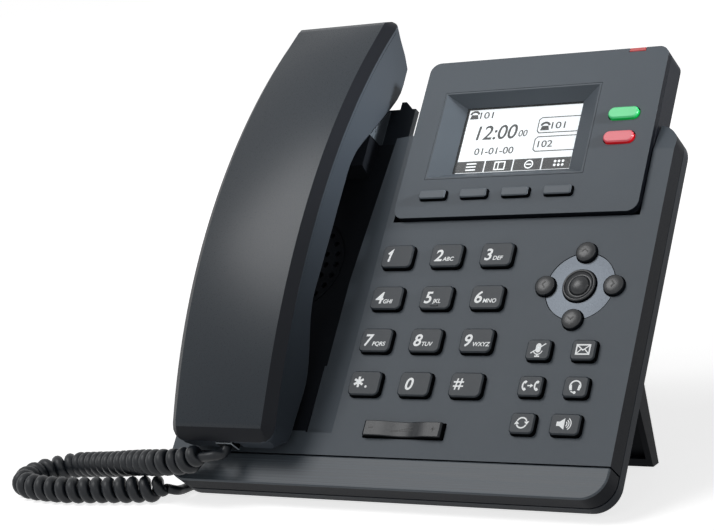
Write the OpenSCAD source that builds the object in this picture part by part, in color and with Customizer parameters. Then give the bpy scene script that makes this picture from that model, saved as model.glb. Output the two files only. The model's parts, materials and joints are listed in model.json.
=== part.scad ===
// Desk telephone with a corded handset, a keypad panel and a display module on a rear stand.
// The panel frame has x to the right, y up along the front face from its lower edge, z out of it.
// The whole panel leans back by tilt, and the desk is the plane z = 0 of the finished part.

/* [Stance] */
// Angle between the front face and the desk
tilt = 50; // [42:1:58]
// Height of the lower rear edge above the desk
edge_lift = 1.5; // [1:0.5:3]
// Thickness of the rubber foot pads
pad_t = 1; // [0.8:0.1:1.4]

/* [Housing] */
// Width of the housing
body_w = 190.2; // [186:1:204]
// Length of the housing along its face
body_l = 153.4; // [150:1:158]
// Thickness of the housing
body_t = 13.6; // [13:0.1:15]
// Depth of the front moulding's side walls
front_d = 8.7; // [8.6:0.1:8.9]
// Corner radius of the housing
corner_r = 10; // [6:1:14]
// Wall thickness of the mouldings
wall = 2.2; // [1.8:0.1:2.4]
// Gap along the parting lines
seam = 0.3; // [0.2:0.05:0.4]
// Length of the brushed trim strip at the lower edge
trim_l = 12.6; // [10:0.2:14]
// Length of the bevel on the right shoulder
shoulder_l = 12; // [8:1:14]
// Drop of the bevel on the right shoulder
shoulder_drop = 3; // [2:0.5:5]

/* [Handset recess] */
// Distance of the recess edge from the middle of the housing, at the top
recess_x_top = 29; // [28.5:0.25:29.5]
// Distance of the recess edge from the middle of the housing, at mid length
recess_x_mid = 33.5; // [33:0.25:34.5]
// Height up the face where the recess starts
recess_y = 22.4; // [21:0.5:24]
// Depth of the recess at the top edge
recess_d = 5.6; // [5:0.1:5.8]
// Width of the soft slope beside the recess
slope_w = 6.5; // [4:0.5:7]
// Drop of the soft slope beside the recess
slope_drop = 1.2; // [0.6:0.1:1.4]

/* [Loudspeaker] */
// Height of the grille centre up the face
grille_y = 96.4; // [92:0.5:100]
// Radius of the ring round the grille
grille_r = 22.1; // [21:0.1:22.5]
// Radius of each row of holes
grille_rows = [4.4, 9, 13.6, 18.5];
// Holes in each row
grille_counts = [5, 11, 17, 23];
// Diameter of a grille hole
grille_hole_d = 2.6; // [2:0.1:2.8]
// Radius of the loudspeaker driver
driver_r = 20.5; // [18:0.5:21]

/* [Number keys] */
// Middle of the centre column, right of the middle of the housing
pad_x = 9.8; // [9.4:0.1:10.4]
// Middle of the second row up the face
pad_y = 78.4; // [78:0.1:79]
// Spacing of the columns
pitch_x = 21.9; // [21.5:0.1:22.4]
// Spacing of the rows
pitch_y = 18.2; // [17.8:0.1:18.5]
// Width of a number key
key_w = 13.6; // [12:0.2:14.4]
// Length of a number key
key_l = 10; // [9:0.2:11]
// Corner radius of a number key
key_r = 2; // [1:0.2:2.6]
// Height of the keys above the face
key_rise = 2.3; // [1.6:0.1:2.8]
// Bevel round the top of a key
key_bevel = 0.5; // [0.2:0.1:0.8]
// Gap between a key and its opening
key_gap = 0.4; // [0.3:0.05:0.5]
// Travel of a key
key_travel = 1.2; // [0.8:0.1:1.3]

/* [Function keys] */
// Middle of the left column of function keys
func_x = 58.3; // [57.8:0.1:59]
// Spacing of the two columns of function keys
func_pitch_x = 18.1; // [17.6:0.1:18.6]
// Middle of the lowest row of function keys
func_y = 27.3; // [26.8:0.1:28]
// Spacing of the rows of function keys
func_pitch_y = 14.65; // [14:0.05:15]
// Width of a function key
func_w = 9.7; // [9:0.1:10.4]
// Length of a function key
func_l = 8.2; // [7.6:0.1:9]
// Width of the loudspeaker key
speaker_w = 11.8; // [10.6:0.1:12.2]

/* [Navigation cluster] */
// Middle of the navigation disc, right of the middle of the housing
nav_x = 68.6; // [68:0.1:69.4]
// Middle of the navigation disc up the face
nav_y = 83.4; // [82.6:0.1:84.4]
// Radius of the metal disc
disc_r = 13.8; // [13.4:0.1:14.4]
// Thickness of the metal disc
disc_t = 1; // [0.8:0.1:1.2]
// Distance of the arrow keys from the middle of the disc
arrow_pitch = 13.9; // [13.6:0.1:14.4]
// Diameter of an arrow key
arrow_d = 8; // [7.4:0.1:8.4]
// Diameter of the OK key
ok_d = 13.2; // [12.4:0.1:13.8]
// Diameter of the knob on the OK key
ok_knob_d = 8; // [7:0.1:9]

/* [Volume rocker] */
// Middle of the rocker, right of the middle of the housing
rocker_x = 9; // [8:0.1:10]
// Middle of the rocker up the face
rocker_y = 23.7; // [23.2:0.1:24.4]
// Length of the rocker
rocker_w = 33.7; // [32:0.1:35]
// Width of the rocker
rocker_l = 6.1; // [5.6:0.1:6.8]
// Depth of the saddle in the rocker
rocker_dip = 1.1; // [0.6:0.1:1.4]

/* [Display module] */
// Middle of the module, right of the middle of the housing
module_x = 33.6; // [33:0.1:34.4]
// Lower edge of the module up the face
module_y = 113.6; // [113:0.1:114.4]
// Width of the module
module_w = 105.2; // [103:0.2:106.4]
// Length of the module
module_l = 72.8; // [72:0.2:76]
// Thickness of the module
module_t = 13.5; // [13.1:0.1:13.6]
// Height of the module's face above the housing's face
module_rise = 2.3; // [2:0.1:2.5]
// Corner radius of the module
module_r = 4.5; // [3:0.5:6]
// Thickness of the module's front plate
bezel_t = 2.5; // [2.2:0.1:2.8]
// Middle of the screen, right of the middle of the housing
screen_x = 26; // [25.6:0.1:26.4]
// Middle of the screen up the face
screen_y = 151.2; // [150.8:0.1:151.8]
// Width of the bevelled frame round the screen
frame_w = 69.4; // [68.4:0.2:70.4]
// Length of the bevelled frame round the screen
frame_l = 40.6; // [40:0.2:41.4]
// Width of the visible screen
screen_w = 51.4; // [50:0.2:53]
// Length of the visible screen
screen_l = 30.4; // [29:0.2:31.4]
// Depth of the screen below the module's face
screen_depth = 4.8; // [4.4:0.1:5.2]
// Middle of the first soft key
soft_x = -2.3; // [-2.8:0.1:-1.8]
// Middle of the row of soft keys up the face
soft_y = 123.2; // [122.6:0.1:123.6]
// Spacing of the soft keys
soft_pitch = 18.2; // [17.8:0.1:18.6]
// Width of a soft key
soft_w = 11.7; // [11:0.1:12.4]
// Length of a soft key
soft_l = 3.8; // [3.4:0.1:4.2]
// Middle of the line keys, right of the middle of the housing
line_x = 72.8; // [72.2:0.1:73.4]
// Middle of the lower line key up the face
line_y = 145.8; // [145:0.1:146.4]
// Spacing of the line keys
line_pitch = 10.6; // [10.2:0.1:11.2]
// Width of a line key
line_w = 12.5; // [11.8:0.1:13]
// Length of a line key
line_l = 5; // [4.6:0.1:5.4]
// Width of the message lamp in the module's top edge
lamp_w = 6.8; // [6:0.1:8]

/* [Handset] */
// Middle of the handset, left of the middle of the housing
hs_x = 62.2; // [62:0.1:62.4]
// Lower end of the handset up the face
hs_y = 11.4; // [11:0.1:12]
// Length of the handset
hs_l = 195.4; // [195:0.2:197]
// Width of the handset at its widest
hs_w = 51.8; // [50:0.2:52.2]
// Loss of width at the lower end
hs_waist_low = 3.8; // [2:0.2:5]
// Loss of width at the upper end
hs_waist_high = 1.6; // [1:0.2:3]
// Radius of the bow along the handset's front
bow_r = 278; // [260:2:300]
// Height of the top of the bow above the face
bow_z = 31.5; // [30:0.5:33]
// Place of the top of the bow up the face
bow_y = 100.4; // [99:0.2:102]
// Width of the bevel round the handset's front
hs_bevel = 4; // [3:0.25:4.5]
// Thickness of the handset's cover at its bevelled edge
cover_t = 5.2; // [5:0.1:5.6]
// Corner radius of the handset in plan
hs_corner = 6; // [4:0.5:8]
// Bevel round the handset's inner side
grip_bevel = 3; // [2:0.25:3.5]
// Gap between the handset and what it rests on
rest_gap = 0.35; // [0.3:0.05:0.4]
// Depth of the handset's grip below the top of the bow
grip_z = 12; // [11:0.5:13]
// Radius of the receiver capsule
receiver_r = 14; // [12:0.5:14.5]
// Radius of the microphone capsule
mic_r = 4.8; // [4:0.1:5]
// Travel of the hook plunger
hook_travel = 3; // [2:0.5:3]

/* [Cradle tongue] */
// Length of the tongue beyond the housing's top edge
tongue_l = 18.4; // [17:0.2:18.6]
// Length of the tongue's cheeks beyond the housing's top edge
cheek_l = 22; // [20:0.5:23]
// Depth of the tongue's face below the housing's face
tongue_d = 7.7; // [7.6:0.1:7.9]
// Thickness of the tongue
tongue_t = 3; // [2.6:0.1:3.2]

/* [Stand] */
// Width of the stand
stand_w = 165; // [150:1:168]
// Distance of the stand's front foot edge behind the lower rear edge
stand_foot = 60.5; // [58:0.5:64]
// Thickness of the leg at the desk
leg_t = 5.2; // [5:0.1:6]
// Lean of the leg's front edges from upright
leg_front_lean = 15.5; // [14:0.5:17]
// Lean of the leg's back from upright
leg_back_lean = 10; // [8:0.5:12]
// Thickness of the stand's plates
stand_t = 2.4; // [2:0.1:3]
// Length of the plate that clips to the housing
clip_l = 38; // [30:1:44]
// Width of the cable opening in the leg
cable_w = 44; // [36:1:52]
// Height of the cable opening in the leg
cable_h = 20; // [16:1:24]

/* [Sockets] */
// Lower edge of the socket housing up the face
socket_y = 50; // [49:0.5:51]
// Length of the socket housing
socket_l = 16.4; // [16:0.1:16.6]
// Width of the socket housing
socket_w = 96; // [94:1:110]
// Depth of the socket housing behind the housing
socket_d = 14; // [13:0.5:15]
// Spacing of the sockets
socket_pitch = 18.4; // [18:0.1:19]
// Width of a network socket opening
net_w = 11.8; // [11.6:0.05:12]
// Height of a network socket opening
net_h = 8; // [7.8:0.1:8.4]
// Width of a handset plug
plug_w = 7.6; // [7.4:0.1:7.8]
// Height of a handset plug
plug_h = 6.4; // [6.2:0.1:6.6]
// Length of a handset plug
plug_l = 11; // [10:0.5:12]
// Radius of the power socket opening
power_r = 3.2; // [3:0.1:3.4]

/* [Cord] */
// Diameter of the cord
cord_d = 4.2; // [3.6:0.1:4.4]
// Outer diameter of the coiled length
coil_d = 10.8; // [10:0.1:11]

/* [Hidden] */
$fn = 48;
eps = 0.01;

// Places in the panel frame that several pieces share
low_x = -body_w / 2;
hs_end = hs_y + hs_l;
hs_mid = -hs_x;
module_top = module_y + module_l;
module_low_z = module_rise - module_t;
flange_z = -wall - 0.3;
nub_z = flange_z - 2.2;
membrane_z = nub_z - key_travel - 0.2;
membrane_t = 1;
board_z = membrane_z - membrane_t - 0.2;
board_t = 1.6;
rear_floor_z = wall - body_t;
recess_slope = recess_d / (body_l - recess_y);

// Handset profile: the inner side runs from the mouthpiece to the grip and down a slanted receiver face
mouth_end = hs_y + 26;
grip_start = hs_y + 64;
slant = 0.536;
slant_y = hs_y + 129;
slant_top = 10;
ear_z = -10.3;
ear_end = hs_end - 14;
ear_rise = 1.45;
mouth_rise = 1.2;
ear_mid = slant_y + 21;

// Distance behind the lower rear edge, and height above the desk, of a place on the panel
function back_of(y, z) = y * cos(tilt) - (z + body_t) * sin(tilt);
function up_of(y, z) = edge_lift + y * sin(tilt) + (z + body_t) * cos(tilt);
front_b = back_of(hs_y + hs_bevel, front_z(hs_y + hs_bevel));
rear_b = back_of(ear_end, ear_z);
mid_b = (front_b + rear_b) / 2;

function recess_z(y) = -recess_slope * (y - recess_y);
function front_z(y) = bow_z - bow_r + sqrt(bow_r * bow_r - pow(y - bow_y, 2));
function part_z(y) = front_z(y) - cover_t;
function slant_z(y) = slant_top - slant * (y - slant_y);
function ease(t) = let (c = min(1, max(0, t))) c * c * (3 - 2 * c);
function soft_min(a, b, k) = let (h = max(k - abs(a - b), 0) / k) min(a, b) - h * h * k / 4;
function soft_max(a, b, k) = -soft_min(-a, -b, k);
function grip_under(y) = rest_gap + (grip_z - rest_gap) * ease((y - mouth_end) / (grip_start - mouth_end));
function ear_line(y) = ear_z + ear_rise * (y - ear_end);
function mouth_line(y) = rest_gap + mouth_rise * (hs_y + 5 - y);
function inner_z(y) =
    soft_max(soft_max(soft_min(grip_under(y), slant_z(y), 5), ear_z, 3), max(ear_line(y), mouth_line(y)), 2);
function waist(y) = y < bow_y
    ? hs_waist_low * pow((bow_y - y) / (bow_y - hs_y), 2)
    : hs_waist_high * pow((y - bow_y) / (hs_end - bow_y), 2);
function end_gap(y) = min(y - hs_y, hs_end - y);
function corner_loss(y) = let (d = max(0, hs_corner - end_gap(y))) hs_corner - sqrt(max(0, hs_corner * hs_corner - d * d));
function half_w(y) = (hs_w - waist(y)) / 2 - corner_loss(y);
hs_stations = concat(
    [for (a = [0:22.5:90]) hs_y + hs_corner * (1 - cos(a))],
    [for (k = [1:32]) hs_y + hs_corner + (hs_l - 2 * hs_corner) * k / 33],
    [for (a = [0:22.5:90]) hs_end - hs_corner * (1 - sin(a))]
);
grip_low = hs_y + 1;
grip_end = ear_end + (part_z(ear_end + 10) - seam - 1.2 - ear_z) / ear_rise;
grip_stations = [for (k = [0:48]) grip_low + (grip_end - grip_low) * k / 48];

// Sockets: where the handset's cord leaves the handset and enters the housing
socket_z = -body_t - socket_d / 2;
cord_socket_h = 9;
hs_plug_z = 8.6;
plug_out = 3;
hs_plug_y = hs_y - 0.4;

// Route of the cord as x, distance behind the lower rear edge, height above the desk
coil_start = [-70.4, -16, 21.5];
coil_end = [-95.5, -8.3, 5.5];
coil_route = [
    coil_start, [-81.5, -14.7, 19.2], [-92, -13.8, 18], [-110, -6.5, 15], [-128, 1, 11.5], [-148, 9.5, 8],
    [-159, 12.5, 6.4], [-168, 8, 5.6], [-171.5, -1, 5.5], [-168, -10.5, 5.5], [-158, -15.4, 5.5],
    [-140, -16.7, 5.5], [-123, -14.2, 5.5], [-110, -12, 5.5], coil_end
];
tail_end = coil_start + 0.5 * (coil_start - coil_route[1]) / norm(coil_start - coil_route[1]);
handset_tail_route = [
    [hs_mid, back_of(hs_plug_y, hs_plug_z), up_of(hs_plug_y, hs_plug_z)], [hs_mid - 0.4, -12.4, 21.8],
    [hs_mid - 2.6, -16.6, 22.6], tail_end
];
base_tail_route = [
    coil_end, [-93.8, -5.5, 4], [-94.6, 0, 2.6], [-93.4, 8, 2.4], [-86, 16, 2.4], [-74, 21, 2.6],
    [-60, 22.5, 5], [-47, 24.5, 12], [-38.6, 29, 22.5],
    [-2 * socket_pitch, back_of(socket_y - plug_out - 4, socket_z), up_of(socket_y - plug_out - 4, socket_z)],
    [-2 * socket_pitch, back_of(socket_y - plug_out, socket_z), up_of(socket_y - plug_out, socket_z)]
];

// Puts what is drawn in the panel frame on the desk, leaning back
module panel() {
    translate([0, -mid_b - body_t * sin(tilt), edge_lift + body_t * cos(tilt)]) rotate([tilt, 0, 0]) children();
}

// Puts what is drawn as distance behind the lower rear edge and height above the desk in place
module desk() { translate([0, -mid_b, 0]) children(); }

// Rectangle with round corners about the origin
module round_rect(w, l, r) {
    square([w - 2 * r, l], center = true);
    square([w, l - 2 * r], center = true);
    for (x = [-1, 1], y = [-1, 1]) translate([x * (w / 2 - r), y * (l / 2 - r)]) circle(r);
}

// Prism of a 2D outline between two heights
module between(low, high) { translate([0, 0, low]) linear_extrude(high - low) children(); }

// Outline drawn in y and z, extruded along x about a middle
module side_profile(w, mid = 0) { translate([mid - w / 2, 0, 0]) rotate([90, 0, 90]) linear_extrude(w) children(); }

// Outline drawn in x and z, extruded along y about the origin
module end_profile(l) { rotate([90, 0, 0]) linear_extrude(l, center = true) children(); }

// Closed solid through rings of equal length that run anticlockwise seen from the first end
module loft(rings) {
    m = len(rings[0]);
    n = len(rings);
    faces = concat(
        [[for (j = [m - 1:-1:0]) j]],
        [for (i = [0:n - 2], j = [0:m - 1]) [i * m + j, i * m + (j + 1) % m, (i + 1) * m + (j + 1) % m]],
        [for (i = [0:n - 2], j = [0:m - 1]) [i * m + j, (i + 1) * m + (j + 1) % m, (i + 1) * m + j]],
        [[for (j = [0:m - 1]) (n - 1) * m + j]]
    );
    polyhedron(points = [for (r = rings) each r], faces = faces, convexity = 10);
}

// Smooth curve through route points, and the round tube along it
function on_curve(p, i, t) =
    let (a = p[max(i - 1, 0)], b = p[i], c = p[i + 1], d = p[min(i + 2, len(p) - 1)])
    0.5 * (2 * b + (c - a) * t + (2 * a - 5 * b + 4 * c - d) * t * t + (3 * b - a - 3 * c + d) * t * t * t);
function curve(p, steps) = concat(
    [for (i = [0:len(p) - 2], k = [0:steps - 1]) on_curve(p, i, k / steps)], [p[len(p) - 1]]
);
function unit(v) = v / norm(v);
function heading(p, i) = unit(p[min(i + 1, len(p) - 1)] - p[max(i - 1, 0)]);
function side_of(v) = unit(cross(v, [0, 0, 1]));
module tube(path, d, sides) {
    rings = [for (i = [0:len(path) - 1])
        let (u = heading(path, i), s = side_of(u), w = cross(s, u))
        [for (k = [0:sides - 1]) path[i] + d / 2 * (cos(360 * k / sides) * s + sin(360 * k / sides) * w)]];
    loft(rings);
}

// Outline of the housing in plan, drawn in by an inset
module body_outline(inset = 0) {
    translate([0, body_l / 2]) round_rect(body_w - 2 * inset, body_l - 2 * inset, max(corner_r - inset, 1));
}

// Plan of the notch in the housing that holds the display module
module module_notch(gap) {
    translate([module_x - module_w / 2 - gap, module_y - gap]) square([module_w + 2 * gap, body_l]);
}

// Plan of the handset recess
module recess_outline(inset = 0) {
    polygon([
        [low_x - 1, recess_y], [-recess_x_mid - inset, recess_y], [-recess_x_mid - inset, (recess_y + body_l) / 2],
        [-recess_x_top - inset, body_l + 1], [low_x - 1, body_l + 1]
    ]);
}

// Bodies of the space above, or below, a plane that slopes with the recess
module over_recess(shift) {
    side_profile(body_w, 0) polygon([
        [recess_y, shift], [body_l + 1, recess_z(body_l + 1) + shift], [body_l + 1, 20], [recess_y, 20]
    ]);
}

// Places of the keys, as [x, y, width, length]
function number_place(i) = [pad_x + (i % 3 - 1) * pitch_x, pad_y + (1 - floor(i / 3)) * pitch_y, key_w, key_l];
function func_place(i) =
    let (wide = i == 5 ? speaker_w : func_w)
    [func_x + (i % 2) * func_pitch_x - (wide - func_w) / 2, func_y + (2 - floor(i / 2)) * func_pitch_y, wide, func_l];
function soft_place(i) = [soft_x + i * soft_pitch, soft_y, soft_w, soft_l];
function line_place(i) = [line_x, line_y + (1 - i) * line_pitch, line_w, line_l];
arrow_places = [for (a = [90, 270, 180, 0]) [nav_x + arrow_pitch * cos(a), nav_y + arrow_pitch * sin(a)]];
func_r = key_r - 0.4;
rocker_side = 0.7;

// A key: bevelled cap, retaining flange under the plate and a nub for the contact
module key(place, r, rise, plate_low, bevel = key_bevel) {
    w = place[2];
    l = place[3];
    translate([place[0], place[1], 0]) {
        between(plate_low - 0.3, rise - bevel) round_rect(w, l, r);
        hull() {
            between(rise - bevel - eps, rise - bevel) round_rect(w, l, r, $fn = 24);
            between(rise - eps, rise) round_rect(w - 2 * bevel, l - 2 * bevel, max(r - bevel, 0.4), $fn = 24);
        }
        between(plate_low - 1.3, plate_low - 0.3) round_rect(w + 1.4, l + 1.4, r + 0.4);
        translate([0, 0, plate_low - 2.5]) cylinder(r = 1.5, h = 1.5);
    }
}

// Opening in a plate for a key
module key_hole(place, r, low, high) {
    translate([place[0], place[1], 0])
        between(low, high) round_rect(place[2] + 2 * key_gap, place[3] + 2 * key_gap, r + key_gap);
}

// Front moulding and trim strip before they are parted
module front_block() {
    difference() {
        between(-front_d, 0) body_outline();
        // hollow under the plate, with a wall along the module and under the recess
        difference() {
            between(-front_d - 1, -wall) difference() {
                body_outline(wall);
                module_notch(0.5 + wall);
                recess_outline(-wall);
            }
        }
        intersection() {
            between(-front_d - 1, 0) intersection() {
                body_outline(wall);
                recess_outline(wall);
            }
            side_profile(body_w) polygon([
                [recess_y, -wall], [body_l, recess_z(body_l) - wall], [body_l, -20], [recess_y, -20]
            ]);
        }
        // the recess itself and the soft slope beside it
        intersection() {
            between(-front_d - 1, 1) recess_outline();
            over_recess(0);
        }
        translate([0, (recess_y + body_l) / 2, 0]) end_profile(body_l - recess_y + 1) polygon([
            [-recess_x_mid - 1, 1], [-recess_x_mid - 1, -slope_drop], [-recess_x_top, -slope_drop],
            [-recess_x_top + slope_w, 0], [-recess_x_top + slope_w, 1]
        ]);
        between(-front_d - 1, 1) module_notch(0.5);
        // right shoulder falls back beside the module
        side_profile(60, body_w / 2) polygon([
            [body_l - shoulder_l, 0], [body_l - shoulder_l, 1], [body_l + 1, 1],
            [body_l + 1, -shoulder_drop * (shoulder_l + 1) / shoulder_l]
        ]);
    }
}

module front_shell() {
    color("#5c646c") panel() difference() {
        union() {
            difference() {
                front_block();
                translate([low_x - 1, -1, -front_d - 1]) cube([body_w + 2, trim_l + seam / 2 + 1, front_d + 2]);
            }
            hook_pedestal();
        }
        for (i = [0:11]) key_hole(number_place(i), key_r, -front_d, 1);
        for (i = [0:5]) key_hole(func_place(i), func_r, -front_d, 1);
        translate([rocker_x, rocker_y, 0])
            between(-front_d, 1) round_rect(rocker_w + 2 * rocker_side, rocker_l + 2 * key_gap, 0.6);
        translate([nav_x, nav_y, -disc_t]) cylinder(r = disc_r + 0.3, h = disc_t + 1);
        translate([nav_x, nav_y, -front_d]) cylinder(d = ok_d + 2 * key_gap, h = front_d + 1);
        for (p = arrow_places) translate([p[0], p[1], -front_d]) cylinder(d = arrow_d + 2 * key_gap, h = front_d + 1);
        translate([hs_mid, 0, 0]) grille_cut();
        hook_slot();
    }
}

// Raised seat in the recess that guides the hook plunger
hook_y = body_l - 9;
hook_w = 8;
hook_l = 5;
pedestal_w = 44;
pedestal_l = 16;
pedestal_z = slant_z(body_l) - 1;
module hook_pedestal() {
    side_profile(pedestal_w, hs_mid) polygon([
        [body_l - pedestal_l, recess_z(body_l - pedestal_l) - eps], [body_l - pedestal_l + 2, pedestal_z],
        [body_l, pedestal_z], [body_l, recess_z(body_l) - 1], [body_l - pedestal_l, recess_z(body_l - pedestal_l) - 1]
    ]);
}
module hook_slot() {
    translate([hs_mid, hook_y, -front_d - 1]) {
        between(0, front_d + 20) square([hook_w + 0.6, hook_l + 0.6], center = true);
        between(0, front_d + 1 + pedestal_z - wall) square([hook_w + 5, hook_l + 5], center = true);
    }
}

// Perforations and the fine ring round them, square to the sloping recess floor
module grille_cut() {
    translate([0, grille_y, recess_z(grille_y)]) rotate([-atan(recess_slope), 0, 0]) {
        for (i = [0:len(grille_rows) - 1], k = [0:grille_counts[i] - 1])
            rotate(360 * k / grille_counts[i]) translate([grille_rows[i], 0, -wall - 2])
                cylinder(d = grille_hole_d, h = wall + 4, $fn = 16);
        translate([0, 0, -wall - 2]) cylinder(d = grille_hole_d, h = wall + 4, $fn = 16);
        difference() {
            translate([0, 0, -0.5]) cylinder(r = grille_r, h = 1);
            translate([0, 0, -1]) cylinder(r = grille_r - 0.7, h = 2);
        }
    }
}

module trim_strip() {
    color("#596067") panel() difference() {
        front_block();
        translate([low_x - 1, trim_l - seam / 2, -front_d - 1]) cube([body_w + 2, body_l + 2, front_d + 10]);
    }
}

// Rear tray with the cradle tongue, the socket housing and two moulded feet
module rear_shell() {
    color("#333b43") {
        panel() difference() {
            union() {
                difference() {
                    between(-body_t, -front_d - seam) body_outline();
                    between(rear_floor_z, 0) body_outline(wall);
                }
                cradle_tongue();
                for (x = [board_x0 + 4, board_x1 - 6], y = [board_y0 + 4, board_y1 - 4])
                    translate([x, y, rear_floor_z - eps]) board_post();
                socket_housing();
            }
            between(rear_floor_z, 1) module_notch(0.5);
            for (i = [-2:2]) socket_pocket(i);
            for (x = [-1, 1], y = [0, 1]) clip_slot(x, y);
        }
        desk() for (x = [-1, 1]) moulded_foot(x * foot_x);
    }
}
module board_post() { cylinder(r = 3, h = board_z - board_t - 0.3 - rear_floor_z + eps); }

// Tongue behind the handset's upper end, with a cheek on each side and a rib under the receiver
cheek_x = hs_w / 2 + 8;
cheek_in = hs_w / 2 + 0.3;
cheek_cut = 5.4;
module cradle_tongue() {
    low = -tongue_d - tongue_t;
    intersection() {
        between(low, -tongue_d) {
            tongue_plan(body_l + seam);
            for (s = [-1, 1]) cheek_plan(s);
        }
        translate([low_x, 0, low]) cube([body_w, body_l + cheek_l, tongue_t]);
    }
    intersection() {
        between(low, -front_d - seam) tongue_plan(body_l - 1);
        translate([low_x, 0, low]) cube([body_w, body_l + cheek_l, tongue_t]);
    }
    side_profile(pedestal_w, hs_mid) polygon([
        [body_l + seam, -tongue_d - 1], [body_l + seam, wedge_z(body_l + seam)],
        [body_l + tongue_l - 1, wedge_z(body_l + tongue_l - 1)], [body_l + tongue_l - 1, -tongue_d - 1]
    ]);
}
function wedge_z(y) = slant_z(y) - 1.2 * rest_gap;
module tongue_plan(from) {
    translate([hs_mid - cheek_x, from]) square([2 * cheek_x, body_l + tongue_l - from]);
}
module cheek_plan(s) {
    polygon([
        [hs_mid + s * cheek_in, body_l + seam], [hs_mid + s * cheek_x, body_l + seam],
        [hs_mid + s * cheek_x, body_l + cheek_l - cheek_cut], [hs_mid + s * (cheek_x - cheek_cut), body_l + cheek_l],
        [hs_mid + s * cheek_in, body_l + cheek_l]
    ]);
}

module socket_housing() {
    translate([-socket_w / 2, socket_y, -body_t - socket_d]) cube([socket_w, socket_l, socket_d + eps]);
}
function socket_size(i) = abs(i) == 2 && i > 0 ? [11, 11] : i < 0 ? [10.6, cord_socket_h] : [15.6, 12.4];
socket_deep = 13.6;
module socket_block(i, grow = 0) {
    s = socket_size(i);
    translate([i * socket_pitch - s[0] / 2 - grow, socket_y, socket_z - s[1] / 2 - grow])
        cube([s[0] + 2 * grow, socket_deep + grow, s[1] + 2 * grow]);
}
module socket_pocket(i) {
    s = socket_size(i);
    socket_block(i, 0.15);
    translate([i * socket_pitch - s[0] / 2 - 0.15, socket_y - 1, socket_z - s[1] / 2 - 0.15]) cube([s[0] + 0.3, 2, s[1] + 0.3]);
}
module socket_mouth(x, w, h, deep) {
    translate([x - w / 2, socket_y - 1, socket_z - h / 2]) cube([w, deep + 1, h]);
}

module network_sockets() {
    color("#9aa0a6") panel() for (i = [0, 1]) difference() {
        socket_block(i);
        socket_mouth(i * socket_pitch, net_w, net_h, 12);
        translate([0, 0, net_h / 2]) socket_mouth(i * socket_pitch, net_w / 2, 2.6, 12);
    }
}

module cord_sockets() {
    color("#1d2125") panel() for (i = [-2, -1]) difference() {
        socket_block(i);
        socket_mouth(i * socket_pitch, plug_w + 0.3, plug_h + 0.3, plug_l - plug_out + 0.4);
    }
}

module power_socket() {
    color("#1d2125") panel() {
        difference() {
            socket_block(2);
            translate([2 * socket_pitch, socket_y - 1, socket_z]) rotate([-90, 0, 0]) cylinder(r = power_r, h = 11);
        }
        translate([2 * socket_pitch, socket_y + 1.5, socket_z]) rotate([-90, 0, 0]) cylinder(r = 1, h = 9);
    }
}

// Feet moulded on the rear tray, in desk coordinates, and the pads under them
foot_x = 66;
foot_w = 24;
foot_b = [5, 12];
pad_proud = 0.3;
module moulded_foot(x) {
    difference() {
        side_profile(foot_w, x) polygon([
            [foot_b[0], pad_proud], [foot_b[1], pad_proud], [foot_b[1], up_of(foot_b[1] / cos(tilt), -body_t) + 0.3],
            [foot_b[0], up_of(foot_b[0] / cos(tilt), -body_t) + 0.3]
        ]);
        translate([x - foot_w / 2 + 2, foot_b[0] + 1, pad_proud - 1]) cube([foot_w - 4, foot_b[1] - foot_b[0] - 2, pad_t - pad_proud + 1.05]);
    }
}
stand_pad_x = 58;
stand_pad_w = 30;
module rubber_feet() {
    color("#15181b") desk() {
        for (s = [-1, 1]) {
            translate([s * foot_x - foot_w / 2 + 2.1, foot_b[0] + 1.1, 0]) cube([foot_w - 4.2, foot_b[1] - foot_b[0] - 2.2, pad_t]);
            translate([s * stand_pad_x - stand_pad_w / 2 + 0.1, stand_foot + 1.1, 0]) cube([stand_pad_w - 0.2, leg_t - 2.2, pad_t]);
        }
    }
}

// Rear stand: a leg with side flanges and a plate that clips to the rear tray
function leg_front(h) = stand_foot - (h - pad_proud) * tan(leg_front_lean);
function leg_back(h) = stand_foot + leg_t - (h - pad_proud) * tan(leg_back_lean);
function leg_root_h(b0, lean) =
    (edge_lift + (b0 + pad_proud * tan(lean)) * tan(tilt)) / (1 + tan(lean) * tan(tilt));
root_front_h = leg_root_h(stand_foot, leg_front_lean);
root_back_h = leg_root_h(stand_foot + leg_t, leg_back_lean);
clip_y0 = leg_front(root_front_h) / cos(tilt) + 1;
clip_gap = 0.3;
clip_w = 120;
module stand() {
    color("#2c333a") {
        desk() difference() {
            side_profile(stand_w) leg_outline();
            // the leg is a channel, open to the front, over a solid foot bar
            side_profile(stand_w - 2 * stand_t) polygon([
                [leg_front(3.5) - 4, 3.5], [leg_back(3.5) - stand_t, 3.5], [leg_back(root_back_h - 12) - stand_t, root_back_h - 12],
                [leg_front(root_front_h) - 10, root_front_h - 12]
            ]);
            translate([-cable_w / 2, stand_foot - 20, -1]) cube([cable_w, 40, cable_h + 1]);
            for (s = [-1, 1]) translate([s * stand_pad_x - stand_pad_w / 2, stand_foot + 1, pad_proud - 1])
                cube([stand_pad_w, leg_t - 2, pad_t - pad_proud + 1.05]);
            rear_plane_cut();
        }
        panel() {
            translate([-clip_w / 2, clip_y0, -body_t - clip_gap - stand_t]) cube([clip_w, clip_l, stand_t]);
            for (x = [-1, 1], y = [0, 1]) clip_tab(x, y);
        }
    }
}
module leg_outline() {
    polygon([
        [leg_front(pad_proud), pad_proud], [leg_back(pad_proud), pad_proud], [leg_back(root_back_h + 4), root_back_h + 4],
        [leg_front(root_front_h + 4), root_front_h + 4]
    ]);
}
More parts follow.
